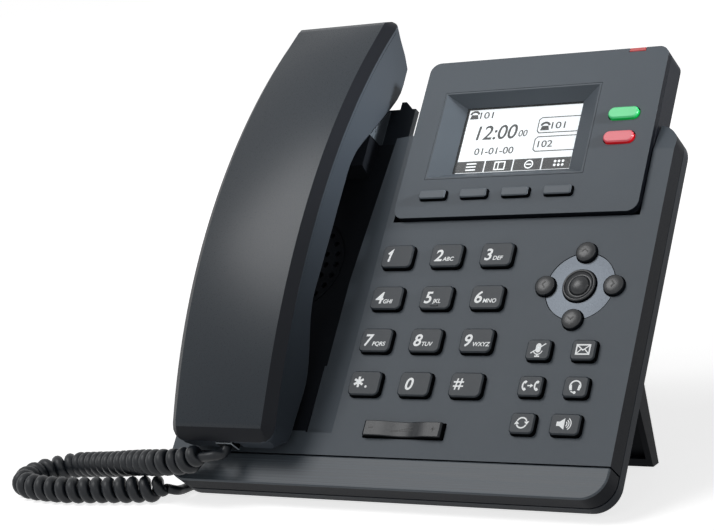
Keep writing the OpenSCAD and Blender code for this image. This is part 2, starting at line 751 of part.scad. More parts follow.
// Everything in front of the clip plate's face
module rear_plane_cut() {
    reach = 400;
    side_profile(stand_w + 2) polygon([
        [back_of(-reach, -body_t - clip_gap), up_of(-reach, -body_t - clip_gap)],
        [back_of(reach, -body_t - clip_gap), up_of(reach, -body_t - clip_gap)],
        [back_of(reach, reach), up_of(reach, reach)], [back_of(-reach, reach), up_of(-reach, reach)]
    ]);
}
tab_x = 48;
tab_w = 10;
tab_l = 4;
function tab_y(k) = clip_y0 + clip_l * (0.55 + 0.35 * k);
module clip_tab(s, k) {
    translate([s * tab_x - tab_w / 2, tab_y(k), -body_t - clip_gap - eps]) cube([tab_w, tab_l, clip_gap + wall * 0.8]);
}
module clip_slot(s, k) {
    translate([s * tab_x - tab_w / 2 - 0.3, tab_y(k) - 0.3, -body_t - 1]) cube([tab_w + 0.6, tab_l + 0.6, wall + 2]);
}

module speaker_driver() {
    top = recess_z(grille_y + driver_r) - wall - 0.3;
    color("#2a2d30") panel() translate([hs_mid, grille_y, 0]) {
        translate([0, 0, top - 1.6]) cylinder(r = driver_r, h = 1.6);
        translate([0, 0, rear_floor_z + 0.3]) cylinder(r = driver_r * 0.6, h = top - rear_floor_z - 1.5);
    }
}

// Rubber sheet under the keys, with the ridge that the volume rocker tips on
sheet_x0 = pad_x - pitch_x - key_w / 2 - 2;
sheet_x1 = nav_x + arrow_pitch + arrow_d / 2 + 1;
sheet_y0 = rocker_y - 6;
sheet_y1 = pad_y + pitch_y + key_l / 2 + 2;
module keypad_membrane() {
    color("#3a3f44") panel() {
        translate([sheet_x0, sheet_y0, membrane_z - membrane_t]) cube([sheet_x1 - sheet_x0, sheet_y1 - sheet_y0, membrane_t]);
        translate([rocker_x - 1, rocker_y - rocker_l / 2, membrane_z - eps]) cube([2, rocker_l, rocker_low - 0.3 - membrane_z]);
    }
}

// Circuit board under the sheet, on posts of the rear tray
board_x0 = sheet_x0 - 2;
board_x1 = sheet_x1 + 2;
board_y0 = sheet_y0 - 2;
board_y1 = sheet_y1 + 2;
module main_board() {
    color("#2f5a3a") panel()
        translate([board_x0, board_y0, board_z - board_t]) cube([board_x1 - board_x0, board_y1 - board_y0, board_t]);
}

module nav_disc() {
    color("#b4b8bc") panel() translate([nav_x, nav_y, 0]) difference() {
        translate([0, 0, 0.02 - disc_t]) cylinder(r = disc_r, h = disc_t + 0.3);
        translate([0, 0, -disc_t - 1]) cylinder(d = ok_d + 2 * key_gap, h = disc_t + 3);
        for (a = [0:90:270]) rotate(a) translate([arrow_pitch, 0, -disc_t - 1]) cylinder(d = arrow_d + 2 * key_gap, h = disc_t + 3);
    }
}

// Front plate of the display module
screen_seat = 0.15;
module display_bezel() {
    color("#5a626a") panel() difference() {
        translate([module_x, module_y + module_l / 2, 0]) between(module_rise - bezel_t, module_rise) round_rect(module_w, module_l, module_r);
        translate([screen_x, screen_y, 0]) between(-10, 10) square([frame_w, frame_l], center = true);
        for (i = [0:3]) key_hole(soft_place(i), 0.9, -10, 10);
        for (i = [0:1]) key_hole(line_place(i), line_l / 2 - 0.1, -10, 10);
        lamp_notch(0.1);
    }
}
module lamp_notch(gap) {
    translate([line_x - lamp_w / 2 - gap, module_top - 1.6 - gap, -10]) cube([lamp_w + 2 * gap, 3, 20]);
}

// Rear case of the display module
case_top = module_rise - bezel_t - 0.05;
module display_housing() {
    color("#2b3138") panel() {
        difference() {
            translate([module_x, module_y + module_l / 2, 0]) between(module_low_z, case_top) round_rect(module_w, module_l, module_r);
            translate([module_x, module_y + module_l / 2, 0])
                between(module_low_z + wall, case_top + 1) round_rect(module_w - 2 * wall, module_l - 2 * wall, max(module_r - wall, 1));
            lamp_notch(0.1);
        }
        for (x = [-1, 1]) translate([screen_x + x * screen_w / 3 - 1, screen_y - screen_l / 2, module_low_z + wall - eps])
            cube([2, screen_l, panel_z - panel_t - 0.2 - module_low_z - wall]);
    }
}

// Bevelled frame that falls from the module's face to the screen
frame_lip = 0.8;
module lcd_frame() {
    low = module_rise - screen_depth;
    color("#23282e") panel() translate([screen_x, screen_y, 0]) difference() {
        union() {
            between(low, module_rise) square([frame_w - 2 * screen_seat, frame_l - 2 * screen_seat], center = true);
            between(low, module_rise - bezel_t - 0.1) square([frame_w + 1.6, frame_l + 1.6], center = true);
        }
        intersection() {
            end_profile(frame_l) funnel(frame_w / 2 - frame_lip, screen_w / 2, low);
            rotate(90) end_profile(frame_w) funnel(frame_l / 2 - frame_lip, screen_l / 2, low);
        }
    }
}
module funnel(wide, narrow, low) {
    polygon([[-wide, module_rise + eps], [-narrow, low - eps], [narrow, low - eps], [wide, module_rise + eps]]);
}

lens_z = module_rise - screen_depth - 0.1;
lens_t = 0.8;
panel_z = lens_z - lens_t - 0.1;
panel_t = 2.4;
module lcd_lens() {
    color("#c8d0d6") panel() translate([screen_x, screen_y, 0]) between(lens_z - lens_t, lens_z) square([screen_w + 4, screen_l + 4], center = true);
}
module lcd_panel() {
    color("#e8edf0") panel() translate([screen_x, screen_y, 0]) between(panel_z - panel_t, panel_z) square([screen_w + 6, screen_l + 6], center = true);
}

module message_lamp() {
    color("#c02020") panel() translate([line_x - lamp_w / 2, module_top - 1.6, case_top - 5]) cube([lamp_w, 1.6, 5 + bezel_t + 0.05]);
}

// Plunger that the handset holds down
plunger_top = slant_z(hook_y + hook_l / 2) - rest_gap;
hook_stop_z = pedestal_z - wall - hook_travel - 0.3;
module hook_plunger() {
    color("#1d2125") panel() translate([hs_mid, hook_y, 0]) {
        between(hook_stop_z - eps, plunger_top) square([hook_w, hook_l], center = true);
        between(hook_stop_z - 1.2, hook_stop_z) square([hook_w + 4, hook_l + 4], center = true);
        between(rear_floor_z + 0.3, hook_stop_z - 1.2 + eps) square([hook_w / 2, hook_l / 2], center = true);
    }
}

module number_key(i) {
    p = number_place(i);
    color("#495057") panel() {
        key(p, key_r, key_rise, -wall);
        if (i == 4) translate([p[0], p[1] - key_l / 2 + 1.6, key_rise - eps]) between(0, 0.3) round_rect(3.4, 0.8, 0.38);
    }
}
module func_key(i) { color("#495057") panel() key(func_place(i), func_r, key_rise, -wall); }
module soft_key(i) {
    color("#495057") panel() translate([0, 0, module_rise]) key(soft_place(i), 0.9, 1.8, -bezel_t, 0.4);
}
module line_key(i) {
    color(i == 0 ? "#2fae62" : "#c43f45") panel() translate([0, 0, module_rise])
        key(line_place(i), line_l / 2 - 0.1, 1.4, -bezel_t, 0.5);
}

module arrow_key(i) {
    dome = 0.9;
    color("#495057") panel() translate([arrow_places[i][0], arrow_places[i][1], 0]) rotate_extrude() polygon(concat(
        [[0, nub_z], [1.5, nub_z], [1.5, flange_z - 1], [arrow_d / 2 + 0.5, flange_z - 1],
        [arrow_d / 2 + 0.5, flange_z], [arrow_d / 2, flange_z], [arrow_d / 2, key_rise - dome]],
        [for (a = [15:15:75]) [arrow_d / 2 * cos(a), key_rise - dome + dome * sin(a)]], [[0, key_rise]]
    ));
}

module nav_ok() {
    ring = ok_d / 2;
    knob = ok_knob_d / 2;
    color("#3b4147") panel() translate([nav_x, nav_y, 0]) rotate_extrude() polygon(concat(
        [[0, nub_z], [1.5, nub_z], [1.5, flange_z - 1], [ring + 0.6, flange_z - 1],
        [ring + 0.6, flange_z], [ring, flange_z], [ring, 1.3], [ring - 0.5, 1.6]],
        [for (a = [0:20:80]) [knob + (ring - 0.9 - knob) * cos(a), 1.5 - 0.9 * sin(a)]],
        [for (a = [0:18:72]) [knob * cos(a), 0.8 + 1.7 * sin(a)]], [[0, 2.5]]
    ));
}

// Volume rocker with a saddle, tipping on a ridge at its middle
rocker_low = flange_z - 1.7;
rocker_edge = 0.6;
function saddle(x) = let (t = min(1, abs(x) / (0.34 * rocker_w))) rocker_dip * (1 - ease(t));
module volume_rocker() {
    half = rocker_w / 2;
    color("#454c53") panel() translate([rocker_x, rocker_y, 0]) {
        end_profile(rocker_l) polygon(concat(
            [[-half, rocker_low + 0.5], [half, rocker_low + 0.5], [half, key_rise - rocker_edge], [half - rocker_edge, key_rise]],
            [for (k = [8:-1:-8]) [0.34 * rocker_w * k / 8, key_rise - saddle(0.34 * rocker_w * k / 8)]],
            [[-half + rocker_edge, key_rise], [-half, key_rise - rocker_edge]]
        ));
        between(rocker_low, rocker_low + 0.8) square([rocker_w + 1.6, rocker_l + 1.6], center = true);
    }
}

// Outer cover of the handset: a bowed, waisted slab with a mitred bevel
module handset_cover() {
    rings = [for (y = hs_stations) let (
        x = half_w(y), low = part_z(y), high = front_z(y), in = max(0.05, min(end_gap(y), hs_bevel))
    ) [
        [hs_mid - x, y, low], [hs_mid + x, y, low], [hs_mid + x, y, high - hs_bevel],
        [hs_mid + x - in, y, high - hs_bevel + in], [hs_mid - x + in, y, high - hs_bevel + in],
        [hs_mid - x, y, high - hs_bevel]
    ]];
    color("#4a535b") panel() difference() {
        loft(rings);
        handset_socket_space();
    }
}

// Inner moulding of the handset, from the mouthpiece over the grip to the receiver
grip_inset = 0.4;
module handset_grip() {
    rings = [for (y = grip_stations) let (
        x = half_w(y) - grip_inset, low = inner_z(y), high = part_z(y) - seam, b = min(grip_bevel, (high - low) * 0.4)
    ) [
        [hs_mid - x + b, y, low], [hs_mid + x - b, y, low], [hs_mid + x, y, low + b],
        [hs_mid + x, y, high], [hs_mid - x, y, high], [hs_mid - x, y, low + b]
    ]];
    color("#353c43") panel() difference() {
        loft(rings);
        handset_socket_space();
        on_receiver() translate([0, 0, -1]) cylinder(r = receiver_r + 0.15, h = 1 + receiver_t);
        translate([hs_mid, mic_y, rest_gap - 1]) cylinder(r = mic_r + 0.15, h = 1 + mic_t);
    }
}

// Frame of the slanted receiver face, with z into the handset
receiver_t = 4.2;
module on_receiver() {
    translate([hs_mid, ear_mid, slant_z(ear_mid)]) rotate([-atan(slant), 0, 0]) children();
}
module receiver_capsule() {
    color("#22272c") panel() on_receiver() difference() {
        translate([0, 0, 0.2]) cylinder(r = receiver_r, h = receiver_t - 0.3);
        translate([0, 0, -1]) cylinder(d = 2, h = 2.4);
        for (a = [0:60:300]) rotate(a) translate([5, 0, -1]) cylinder(d = 2, h = 2.4);
    }
}
mic_y = hs_y + 16;
mic_t = 3;
module microphone_capsule() {
    color("#22272c") panel() translate([hs_mid, mic_y, rest_gap]) difference() {
        translate([0, 0, 0.1]) cylinder(r = mic_r, h = mic_t - 0.2);
        for (x = [-1.8, 0, 1.8]) translate([x, 0, -1]) cylinder(d = 1.1, h = 2);
    }
}

// Socket in the lower end of the handset
hs_socket_w = plug_w + 2.8;
hs_socket_h = plug_h + 1.4;
hs_socket_l = 13;
module handset_socket_space() {
    translate([hs_mid - hs_socket_w / 2 - 0.1, hs_y - 2, hs_plug_z - hs_socket_h / 2 - 0.1])
        cube([hs_socket_w + 0.2, hs_socket_l + 3.9, hs_socket_h + 0.2]);
}
module handset_socket() {
    color("#15181b") panel() difference() {
        translate([hs_mid - hs_socket_w / 2, hs_y + 1.8, hs_plug_z - hs_socket_h / 2])
            cube([hs_socket_w, hs_socket_l, hs_socket_h]);
        translate([hs_mid - plug_w / 2 - 0.15, hs_y, hs_plug_z - plug_h / 2 - 0.15]) cube([plug_w + 0.3, plug_l + 0.2, plug_h + 0.3]);
    }
}
module handset_plug() { color("#c9ced2") panel() plug(hs_mid, hs_plug_y, hs_plug_z); }
module base_plug() { color("#c9ced2") panel() plug(-2 * socket_pitch, socket_y - plug_out, socket_z); }
module plug(x, y, z) { translate([x - plug_w / 2, y, z - plug_h / 2]) cube([plug_w, plug_l, plug_h]); }

module handset_tail() { color("#1f252b") desk() tube(curve(handset_tail_route, 3), cord_d, 8); }
module cord_coil() { color("#1f252b") desk() tube(curve(coil_route, 2), coil_d, 12); }
module base_tail() { color("#1f252b") desk() tube(curve(base_tail_route, 2), cord_d, 8); }

front_shell();
rear_shell();
trim_strip();
speaker_driver();
keypad_membrane();
main_board();
nav_disc();
display_bezel();
display_housing();
lcd_frame();
lcd_lens();
lcd_panel();
message_lamp();
stand();
rubber_feet();
network_sockets();
cord_sockets();
power_socket();
hook_plunger();
number_key(0);  // key_1
number_key(1);  // key_2
number_key(2);  // key_3
number_key(3);  // key_4
number_key(4);  // key_5
number_key(5);  // key_6
number_key(6);  // key_7
number_key(7);  // key_8
number_key(8);  // key_9
number_key(9);  // key_star
number_key(10);  // key_0
number_key(11);  // key_hash
volume_rocker();
arrow_key(0);  // nav_up
arrow_key(1);  // nav_down
arrow_key(2);  // nav_left
arrow_key(3);  // nav_right
nav_ok();
func_key(0);  // key_mute
func_key(1);  // key_message
func_key(2);  // key_transfer
func_key(3);  // key_headset
func_key(4);  // key_redial
func_key(5);  // key_speaker
soft_key(0);  // soft_key_1
soft_key(1);  // soft_key_2
soft_key(2);  // soft_key_3
soft_key(3);  // soft_key_4
line_key(0);  // line_key_green
line_key(1);  // line_key_red
handset_cover();
handset_grip();
receiver_capsule();
microphone_capsule();
handset_socket();
handset_plug();
handset_tail();
cord_coil();
base_tail();
base_plug();
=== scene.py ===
"""Looks of a desk telephone with a corded handset: finishes, printing, coiled cord and studio."""

import json
import logging
import math
from collections.abc import Callable, Iterable, Iterator, Sequence
from contextlib import AbstractContextManager, contextmanager
from dataclasses import dataclass, field, replace
from enum import Enum

import bmesh
import bpy
import numpy as np
from mathutils import Matrix, Vector


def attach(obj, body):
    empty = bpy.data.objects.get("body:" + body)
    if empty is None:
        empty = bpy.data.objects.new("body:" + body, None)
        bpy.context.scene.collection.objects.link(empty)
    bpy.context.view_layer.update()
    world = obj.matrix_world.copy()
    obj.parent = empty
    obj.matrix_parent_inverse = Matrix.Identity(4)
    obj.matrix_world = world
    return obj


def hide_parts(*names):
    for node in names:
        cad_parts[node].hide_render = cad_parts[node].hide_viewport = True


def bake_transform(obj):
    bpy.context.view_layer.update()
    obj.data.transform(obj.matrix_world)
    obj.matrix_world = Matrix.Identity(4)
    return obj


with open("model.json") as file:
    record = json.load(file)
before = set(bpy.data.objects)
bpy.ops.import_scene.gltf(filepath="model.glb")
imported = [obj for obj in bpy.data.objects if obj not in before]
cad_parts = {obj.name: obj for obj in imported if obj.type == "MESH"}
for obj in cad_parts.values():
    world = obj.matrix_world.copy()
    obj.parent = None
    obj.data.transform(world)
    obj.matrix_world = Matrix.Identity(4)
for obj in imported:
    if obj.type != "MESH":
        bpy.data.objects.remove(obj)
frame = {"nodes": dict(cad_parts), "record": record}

LOG = logging.getLogger("telephone")
MM = 0.001
POLYMER_IOR = 1.5
ACRYLIC_IOR = 1.49
Point = tuple[float, float]
Triple = tuple[float, float, float]
Tree = bpy.types.NodeTree
Socket = bpy.types.NodeSocket
Thing = bpy.types.Object
Work = bmesh.types.BMesh
WHITE = {"Color": (1, 1, 1, 1)}


# ---------------------------------------------------------------- colour and nodes


def linear(colour: str, strength: float = 1.0) -> tuple[float, float, float, float]:
    """Turn an sRGB hex colour into linear light.

    Args:
        colour: six hex digits after a hash sign.
        strength: what the light is multiplied by.

    Returns:
        Red, green, blue and a full alpha for a shader socket.
    """
    channels = [int(colour[i : i + 2], 16) / 255 for i in (1, 3, 5)]
    light = [c / 12.92 if c <= 0.04045 else ((c + 0.055) / 1.055) ** 2.4 for c in channels]
    red, green, blue = (min(1.0, c * strength) for c in light)
    return red, green, blue, 1.0


def add_node(tree: Tree, kind: str, settings: dict, links: dict) -> bpy.types.Node:
    """Add one node with its settings and links.

    Args:
        tree: the tree that gets the node.
        kind: the node's type name.
        settings: attribute names, or input names or numbers, with their values.
        links: input names or numbers, with the output socket that feeds each.

    Returns:
        The new node.
    """
    node = tree.nodes.new(kind)
    for key, value in settings.items():
        if isinstance(key, str) and hasattr(node, key) and key not in node.inputs:
            setattr(node, key, value)
        else:
            node.inputs[key].default_value = value
    for key, socket in links.items():
        tree.links.new(socket, node.inputs[key])
    return node


def new_tree(name: str) -> tuple[bpy.types.Material, Tree]:
    """Make an empty node material and return it with its tree."""
    material = bpy.data.materials.new(name)
    material.use_nodes = True
    material.node_tree.nodes.clear()
    return material, material.node_tree


def noise(
    tree: Tree, scale: float, detail: float, roughness: float = 0.5, stretch: Triple | None = None
) -> Socket:
    """Lay noise over a piece's own coordinates.

    Args:
        tree: the tree that gets the nodes.
        scale: cells to the metre.
        detail: steps of finer noise.
        roughness: strength of each finer step.
        stretch: cells to the metre along each axis, or None for an even pattern.

    Returns:
        The noise, from 0 to 1.
    """
    place = add_node(tree, "ShaderNodeTexCoord", {}, {}).outputs["Object"]
    if stretch:
        mapping = add_node(tree, "ShaderNodeMapping", {"Scale": stretch}, {"Vector": place})
        place = mapping.outputs["Vector"]
    settings = {"Scale": scale, "Detail": detail, "Roughness": roughness}
    return add_node(tree, "ShaderNodeTexNoise", settings, {"Vector": place}).outputs["Fac"]


def ranged(
    tree: Tree, value: Socket, low: float, high: float, start: float = 0.0, end: float = 1.0
) -> Socket:
    """Carry a value that runs from start to end over to low to high."""
    settings = {"From Min": start, "From Max": end, "To Min": low, "To Max": high}
    return add_node(tree, "ShaderNodeMapRange", settings, {"Value": value}).outputs["Result"]


def mixed(tree: Tree, first: Sequence[float], second: Sequence[float], share: Socket) -> Socket:
    """Mix two colours by the share of the second."""
    settings = {"data_type": "RGBA", 6: first, 7: second}
    return add_node(tree, "ShaderNodeMix", settings, {0: share}).outputs[2]


def bumped(tree: Tree, height: Socket, strength: float, depth_mm: float) -> Socket:
    """Return the surface's direction over a pattern of heights."""
    settings = {"Strength": strength, "Distance": depth_mm * MM}
    return add_node(tree, "ShaderNodeBump", settings, {"Height": height}).outputs["Normal"]


# ---------------------------------------------------------------- finishes


@dataclass(frozen=True)
class Finish:
    """A finish with a name, made once and shared by every piece that has it."""

    name: str
    colour: str

    def look(self, tree: Tree) -> tuple[dict, dict]:
        """Return the shader's constants, and the sockets that feed its other inputs."""
        raise NotImplementedError

    def material(self) -> bpy.types.Material:
        """Return this finish's material, making it on first use."""
        known = bpy.data.materials.get(self.name)
        if known:
            return known
        material, tree = new_tree(self.name)
        shader = add_node(tree, "ShaderNodeBsdfPrincipled", *self.look(tree)).outputs["BSDF"]
        add_node(tree, "ShaderNodeOutputMaterial", {}, {"Surface": shader})
        return material


@dataclass(frozen=True)
class MouldedFinish(Finish):
    """Injection-moulded plastic: a spark-eroded mould leaves a fine even grain and a soft sheen."""

    roughness: float = 0.5
    sheen: float = 0.5
    grain_mm: float = 0.45
    bump_mm: float = 0.012
    mottle: float = 0.06

    def look(self, tree: Tree) -> tuple[dict, dict]:
        """Grain drives the bump and roughness; a slow mottle keeps the colour from being flat."""
        grain = noise(tree, scale=1 / (self.grain_mm * MM), detail=3.0, roughness=0.6)
        slow = noise(tree, scale=45.0, detail=2.0)
        dark, light = (linear(self.colour, 1 + way * self.mottle) for way in (-1, 1))
        low, high = self.roughness - 0.05, self.roughness + 0.06
        return {"IOR": POLYMER_IOR, "Specular IOR Level": self.sheen}, {
            "Base Color": mixed(tree, dark, light, slow),
            "Roughness": ranged(tree, grain, low, high, start=0.3, end=0.7),
            "Normal": bumped(tree, grain, strength=0.5, depth_mm=self.bump_mm),
        }


@dataclass(frozen=True)
class BrushedFinish(Finish):
    """Plastic moulded with fine lengthwise brush lines, with their sheen painted in as lighter
    streaks.
    """

    streak_sheen: str
    roughness: float = 0.42
    line_mm: float = 0.5
    length_mm: float = 60.0
    depth_mm: float = 0.02

    def look(self, tree: Tree) -> tuple[dict, dict]:
        """Noise along the strip gives streaks in gloss and height, and painted sheen as lighter
        colour.
        """
        across = 1 / (self.line_mm * MM)
        stretch = (1 / (self.length_mm * MM), across, across)
        lines = noise(tree, scale=1.0, detail=4.0, stretch=stretch)
        clear = ranged(tree, lines, 0.0, 1.0, start=0.38, end=0.66)
        return {"IOR": POLYMER_IOR}, {
            "Base Color": mixed(tree, linear(self.colour), linear(self.streak_sheen), clear),
            "Roughness": ranged(tree, lines, self.roughness - 0.08, self.roughness + 0.1),
            "Normal": bumped(tree, lines, strength=0.4, depth_mm=self.depth_mm),
        }


@dataclass(frozen=True)
class BlastedMetalFinish(Finish):
    """Bead-blasted metal: a bright satin whose fine pits sparkle."""

    roughness: float = 0.42
    pit_mm: float = 0.35
    depth_mm: float = 0.02
    shade: float = 0.86

    def look(self, tree: Tree) -> tuple[dict, dict]:
        """Fine pits roughen the metal and scatter its highlight."""
        pits = noise(tree, scale=1 / (self.pit_mm * MM), detail=4.0)
        return {"Metallic": 1.0}, {
            "Base Color": mixed(tree, linear(self.colour, self.shade), linear(self.colour), pits),
            "Roughness": ranged(tree, pits, self.roughness - 0.1, self.roughness + 0.12),
            "Normal": bumped(tree, pits, strength=0.6, depth_mm=self.depth_mm),
        }


@dataclass(frozen=True)
class InkFinish(Finish):
    """Screen-printed ink: flat, even and slightly glossy."""

    roughness: float = 0.45
    glow: float = 0.0
    thin: float = 0.94

    def look(self, tree: Tree) -> tuple[dict, dict]:
        """A thin print with a trace of unevenness in its cover."""
        full = linear(self.colour)
        cover = noise(tree, scale=900.0, detail=2.0)
        light = {"Emission Color": full, "Emission Strength": self.glow}
        tint = mixed(tree, linear(self.colour, self.thin), full, cover)
        return {"Roughness": self.roughness, **light}, {"Base Color": tint}


@dataclass(frozen=True)
class LitFinish(Finish):
    """Translucent plastic lit from behind: it keeps its colour in shadow."""

    glow_colour: str
    glow: float = 0.35
    roughness: float = 0.3

    def look(self, tree: Tree) -> tuple[dict, dict]:
        """The lamp behind shows as an even glow under a glossy skin."""
        full = linear(self.glow_colour)
        light = {"Emission Color": full, "Emission Strength": self.glow}
        tint = mixed(tree, linear(self.colour), full, noise(tree, scale=120.0, detail=1.0))
        return {"Roughness": self.roughness, "IOR": ACRYLIC_IOR, **light}, {"Base Color": tint}


@dataclass(frozen=True)
class ClearFinish(Finish):
    """Thin clear plastic over the screen: all but a trace of it is seen through."""

    roughness: float = 0.2
    cover: float = 0.06
    sheen: float = 0.3

    def look(self, tree: Tree) -> tuple[dict, dict]:
        """Clear plastic with faint flow marks in its gloss."""
        flow = noise(tree, scale=300.0, detail=1.0)
        clear = {"Base Color": linear(self.colour), "IOR": ACRYLIC_IOR, "Alpha": self.cover}
        rough = ranged(tree, flow, self.roughness, self.roughness * 1.6)
        return {"Specular IOR Level": self.sheen, **clear}, {"Roughness": rough}


# Housing plastics: greys with a fine grain; the side finish is painted shade, a dark dull grey.
FACE = MouldedFinish("abs_face_grey", "#555d65", sheen=0.3)
HOUSING_SIDE_SHADE = MouldedFinish("abs_side_dark", "#14171d", sheen=0.06)
REAR = MouldedFinish("abs_rear_dark", "#22272e", sheen=0.12)
STAND = MouldedFinish("abs_stand_dark", "#111419", sheen=0.1)
CASE = MouldedFinish("abs_module_case", "#171a21", roughness=0.46, sheen=0.08)
SCREEN_FRAME = replace(FACE, name="abs_screen_frame", sheen=0.35)
# Painted shade: the handset's recess, a near-black copy of the front's grey plastic.
RECESS_SHADE = MouldedFinish("abs_recess_dark", "#15181d", roughness=0.6, sheen=0.08)
# Painted shadow: black for faces that show only in narrow gaps.
SHADOW_GAP = MouldedFinish("shadow_gap_black", "#030405", roughness=0.8, sheen=0.02)
# The trim's lighter streak colour is painted sheen.
TRIM = BrushedFinish("abs_trim_brushed", "#3d454d", "#525b63")
RUBBER = MouldedFinish("rubber_feet", "#15171a", roughness=0.8, grain_mm=0.6, bump_mm=0.02)

# Keys: finer grain than the housing, painted shade on their sides; rocker and arrow keys glossy.
KEY_TOP = MouldedFinish(
    "abs_key_top", "#2d343b", roughness=0.42, sheen=0.3, grain_mm=0.3, bump_mm=0.006
)
KEY_SIDE_SHADE = replace(KEY_TOP, name="rubber_key_side", colour="#050608", roughness=0.6, sheen=0.05)
SOFT_KEY_TOP = replace(KEY_TOP, name="abs_soft_key_top", colour="#5e666e")
NAV_KEY = MouldedFinish("abs_nav_key", "#14181d", roughness=0.3, grain_mm=0.3, bump_mm=0.002)
ROCKER = replace(
    KEY_TOP, name="abs_rocker_gloss", colour="#1d2228", roughness=0.22, sheen=0.25, bump_mm=0.001
)

# Handset: smooth and satin, so that its crown shows one broad soft highlight.
HANDSET = MouldedFinish(
    "abs_handset_cover",
    "#272f37",
    roughness=0.3,
    sheen=0.3,
    grain_mm=0.35,
    bump_mm=0.004,
    mottle=0.03,
)
# Painted shade: the cover's bevels are a darker copy of its plastic.
HANDSET_BEVEL_SHADE = replace(
    HANDSET, name="abs_handset_bevel", colour="#14171d", roughness=0.45, sheen=0.15
)
GRIP = replace(HANDSET_BEVEL_SHADE, name="abs_handset_grip", colour="#3f464e", bump_mm=0.006)

# Cord and plugs: soft dull vinyl, and dark plugs with a painted highlight, pale grey, on their
# rounded corners.
CORD = MouldedFinish(
    "pvc_cord", "#12171d", roughness=0.4, sheen=0.35, grain_mm=0.6, bump_mm=0.004, mottle=0.05
)
PLUG = MouldedFinish(
    "polycarbonate_plug", "#0c0e11", roughness=0.3, sheen=0.2, grain_mm=0.6, bump_mm=0.001
)
PLUG_EDGE_HIGHLIGHT = replace(
    PLUG, name="polycarbonate_plug_edge", colour="#aab4bc", roughness=0.25, sheen=0.5
)

# Inside and behind: plain technical plastics, board, cone and metals.
SOCKET = MouldedFinish("pbt_socket_black", "#0b0d10", sheen=0.2)
PORT = MouldedFinish("pbt_port_grey", "#3a3f45")
BOARD = MouldedFinish("laminate_green", "#1f4a2c", roughness=0.4)
MEMBRANE = MouldedFinish("silicone_sheet", "#2c3035", roughness=0.7)
DRIVER = MouldedFinish("paper_cone_black", "#101214", roughness=0.8, grain_mm=0.8, bump_mm=0.03)
DISC = BlastedMetalFinish("aluminium_blasted", "#45494e", roughness=0.3)
GOLD = BlastedMetalFinish("gold_plate", "#d8b25a", roughness=0.25)
STEEL = BlastedMetalFinish("steel_zinc_plated", "#8d9094", roughness=0.35)

# Inks, screen and lit plastics: even and clear, the lit ones bright in any light.
# Painted light: the white ink glows a little, so the legends stay bright in any light.
WHITE_INK = InkFinish("ink_white", "#f2f5f6", glow=0.25)
BLACK_INK = InkFinish("ink_black", "#0a0c0e")
PIXEL = InkFinish("liquid_crystal_dark", "#030405", roughness=0.5)
SCREEN_WHITE = InkFinish("screen_white", "#f6fafb", glow=0.8)
BACKLIGHT = LitFinish("backlight_white", "#eef3f5", "#f4f8fa", glow=0.6, roughness=0.35)
GREEN_KEY = LitFinish("lit_key_green", "#3cc677", "#4fd386", glow=0.3)
RED_KEY = LitFinish("lit_key_red", "#cc4a57", "#d85a66", glow=0.3)
GREEN_SIDE = LitFinish("lit_key_green_side", "#10b04a", "#14c255")
RED_SIDE = LitFinish("lit_key_red_side", "#bc0c18", "#d0141f", glow=0.4)
LAMP = LitFinish("lamp_red", "#8c060d", "#b40c14")
WINDOW = ClearFinish("acrylic_window", "#dfe6ea")


# ---------------------------------------------------------------- the leaning panel


@dataclass(frozen=True)
class Panel:
    """The leaning front, in millimetres: x right, y up the face from its lower edge, z out."""

    tilt: float = math.radians(50)
    lift: float = 1.5
    thickness: float = 13.6
    middle: float = 53.4752

    def matrix(self) -> Matrix:
        """Return the matrix from the panel, in millimetres, to the world, in metres."""
        back = -self.middle - self.thickness * math.sin(self.tilt)
        up = self.lift + self.thickness * math.cos(self.tilt)
        move = Matrix.Translation(Vector((0, back, up)) * MM)
        return move @ Matrix.Rotation(self.tilt, 4, "X") @ Matrix.Scale(MM, 4)

    def out(self) -> Vector:
        """Return the world's direction out of the panel."""
        return (self.matrix().to_3x3() @ Vector((0, 0, 1))).normalized()

    def box(self, node: str) -> tuple[Vector, Vector]:
        """Return the lowest and highest corner of a CAD node in the panel's own millimetres."""
        back = np.array(self.matrix().inverted())
        co = np.array([v.co for v in frame["nodes"][node].data.vertices], float)
        co = co @ back[:3, :3].T + back[:3, 3]
        return Vector(co.min(0)), Vector(co.max(0))

    def top(self, node: str) -> Triple:
        """Return the middle of a CAD node's top in the panel's own millimetres."""
        low, high = self.box(node)
        return (low.x + high.x) / 2, (low.y + high.y) / 2, high.z


PANEL = Panel()


def body_of(node: str) -> str:
    """Return the name of the CAD body that holds a node."""
    bodies = frame["record"]["behaviour"]["bodies"]
    return next(body for body, nodes in bodies.items() if node in nodes)


# ---------------------------------------------------------------- meshes

# A change to a merged mesh, and a finish with the test that picks its faces by each one's middle
# and direction on the panel.
Change = Callable[[Work], None]
Zone = tuple[Finish, Callable[[Vector, Vector], bool]]

MERGE_M = 1e-6
FINE_MERGE_M = 1e-7
FLAT = math.radians(0.6)
SHARP = math.radians(32)
FACES_OUT = 0.35
STANDS_SQUARE = 0.97


def placed(name: str, data: bpy.types.ID) -> Thing:
    """Make an object at the origin and link it to the scene."""
    thing = bpy.data.objects.new(name, data)
    bpy.context.scene.collection.objects.link(thing)
    return thing


def mesh_object(
    name: str,
    points: Iterable[Sequence[float]],
    faces: Iterable[Sequence[int]],
    finishes: Sequence[Finish],
) -> Thing:
    """Make an object at the origin from points in metres and faces.

    Args:
        name: the piece's name.
        points: vertex positions in the row frame.
        faces: vertex numbers of each face, anticlockwise from outside.
        finishes: the finishes of its material slots.

    Returns:
        The object, linked to the scene.
    """
    mesh = bpy.data.meshes.new(name)
    mesh.from_pydata([tuple(p) for p in points], [], [tuple(f) for f in faces])
    mesh.validate()
    for finish in finishes:
        mesh.materials.append(finish.material())
    return placed(name, mesh)


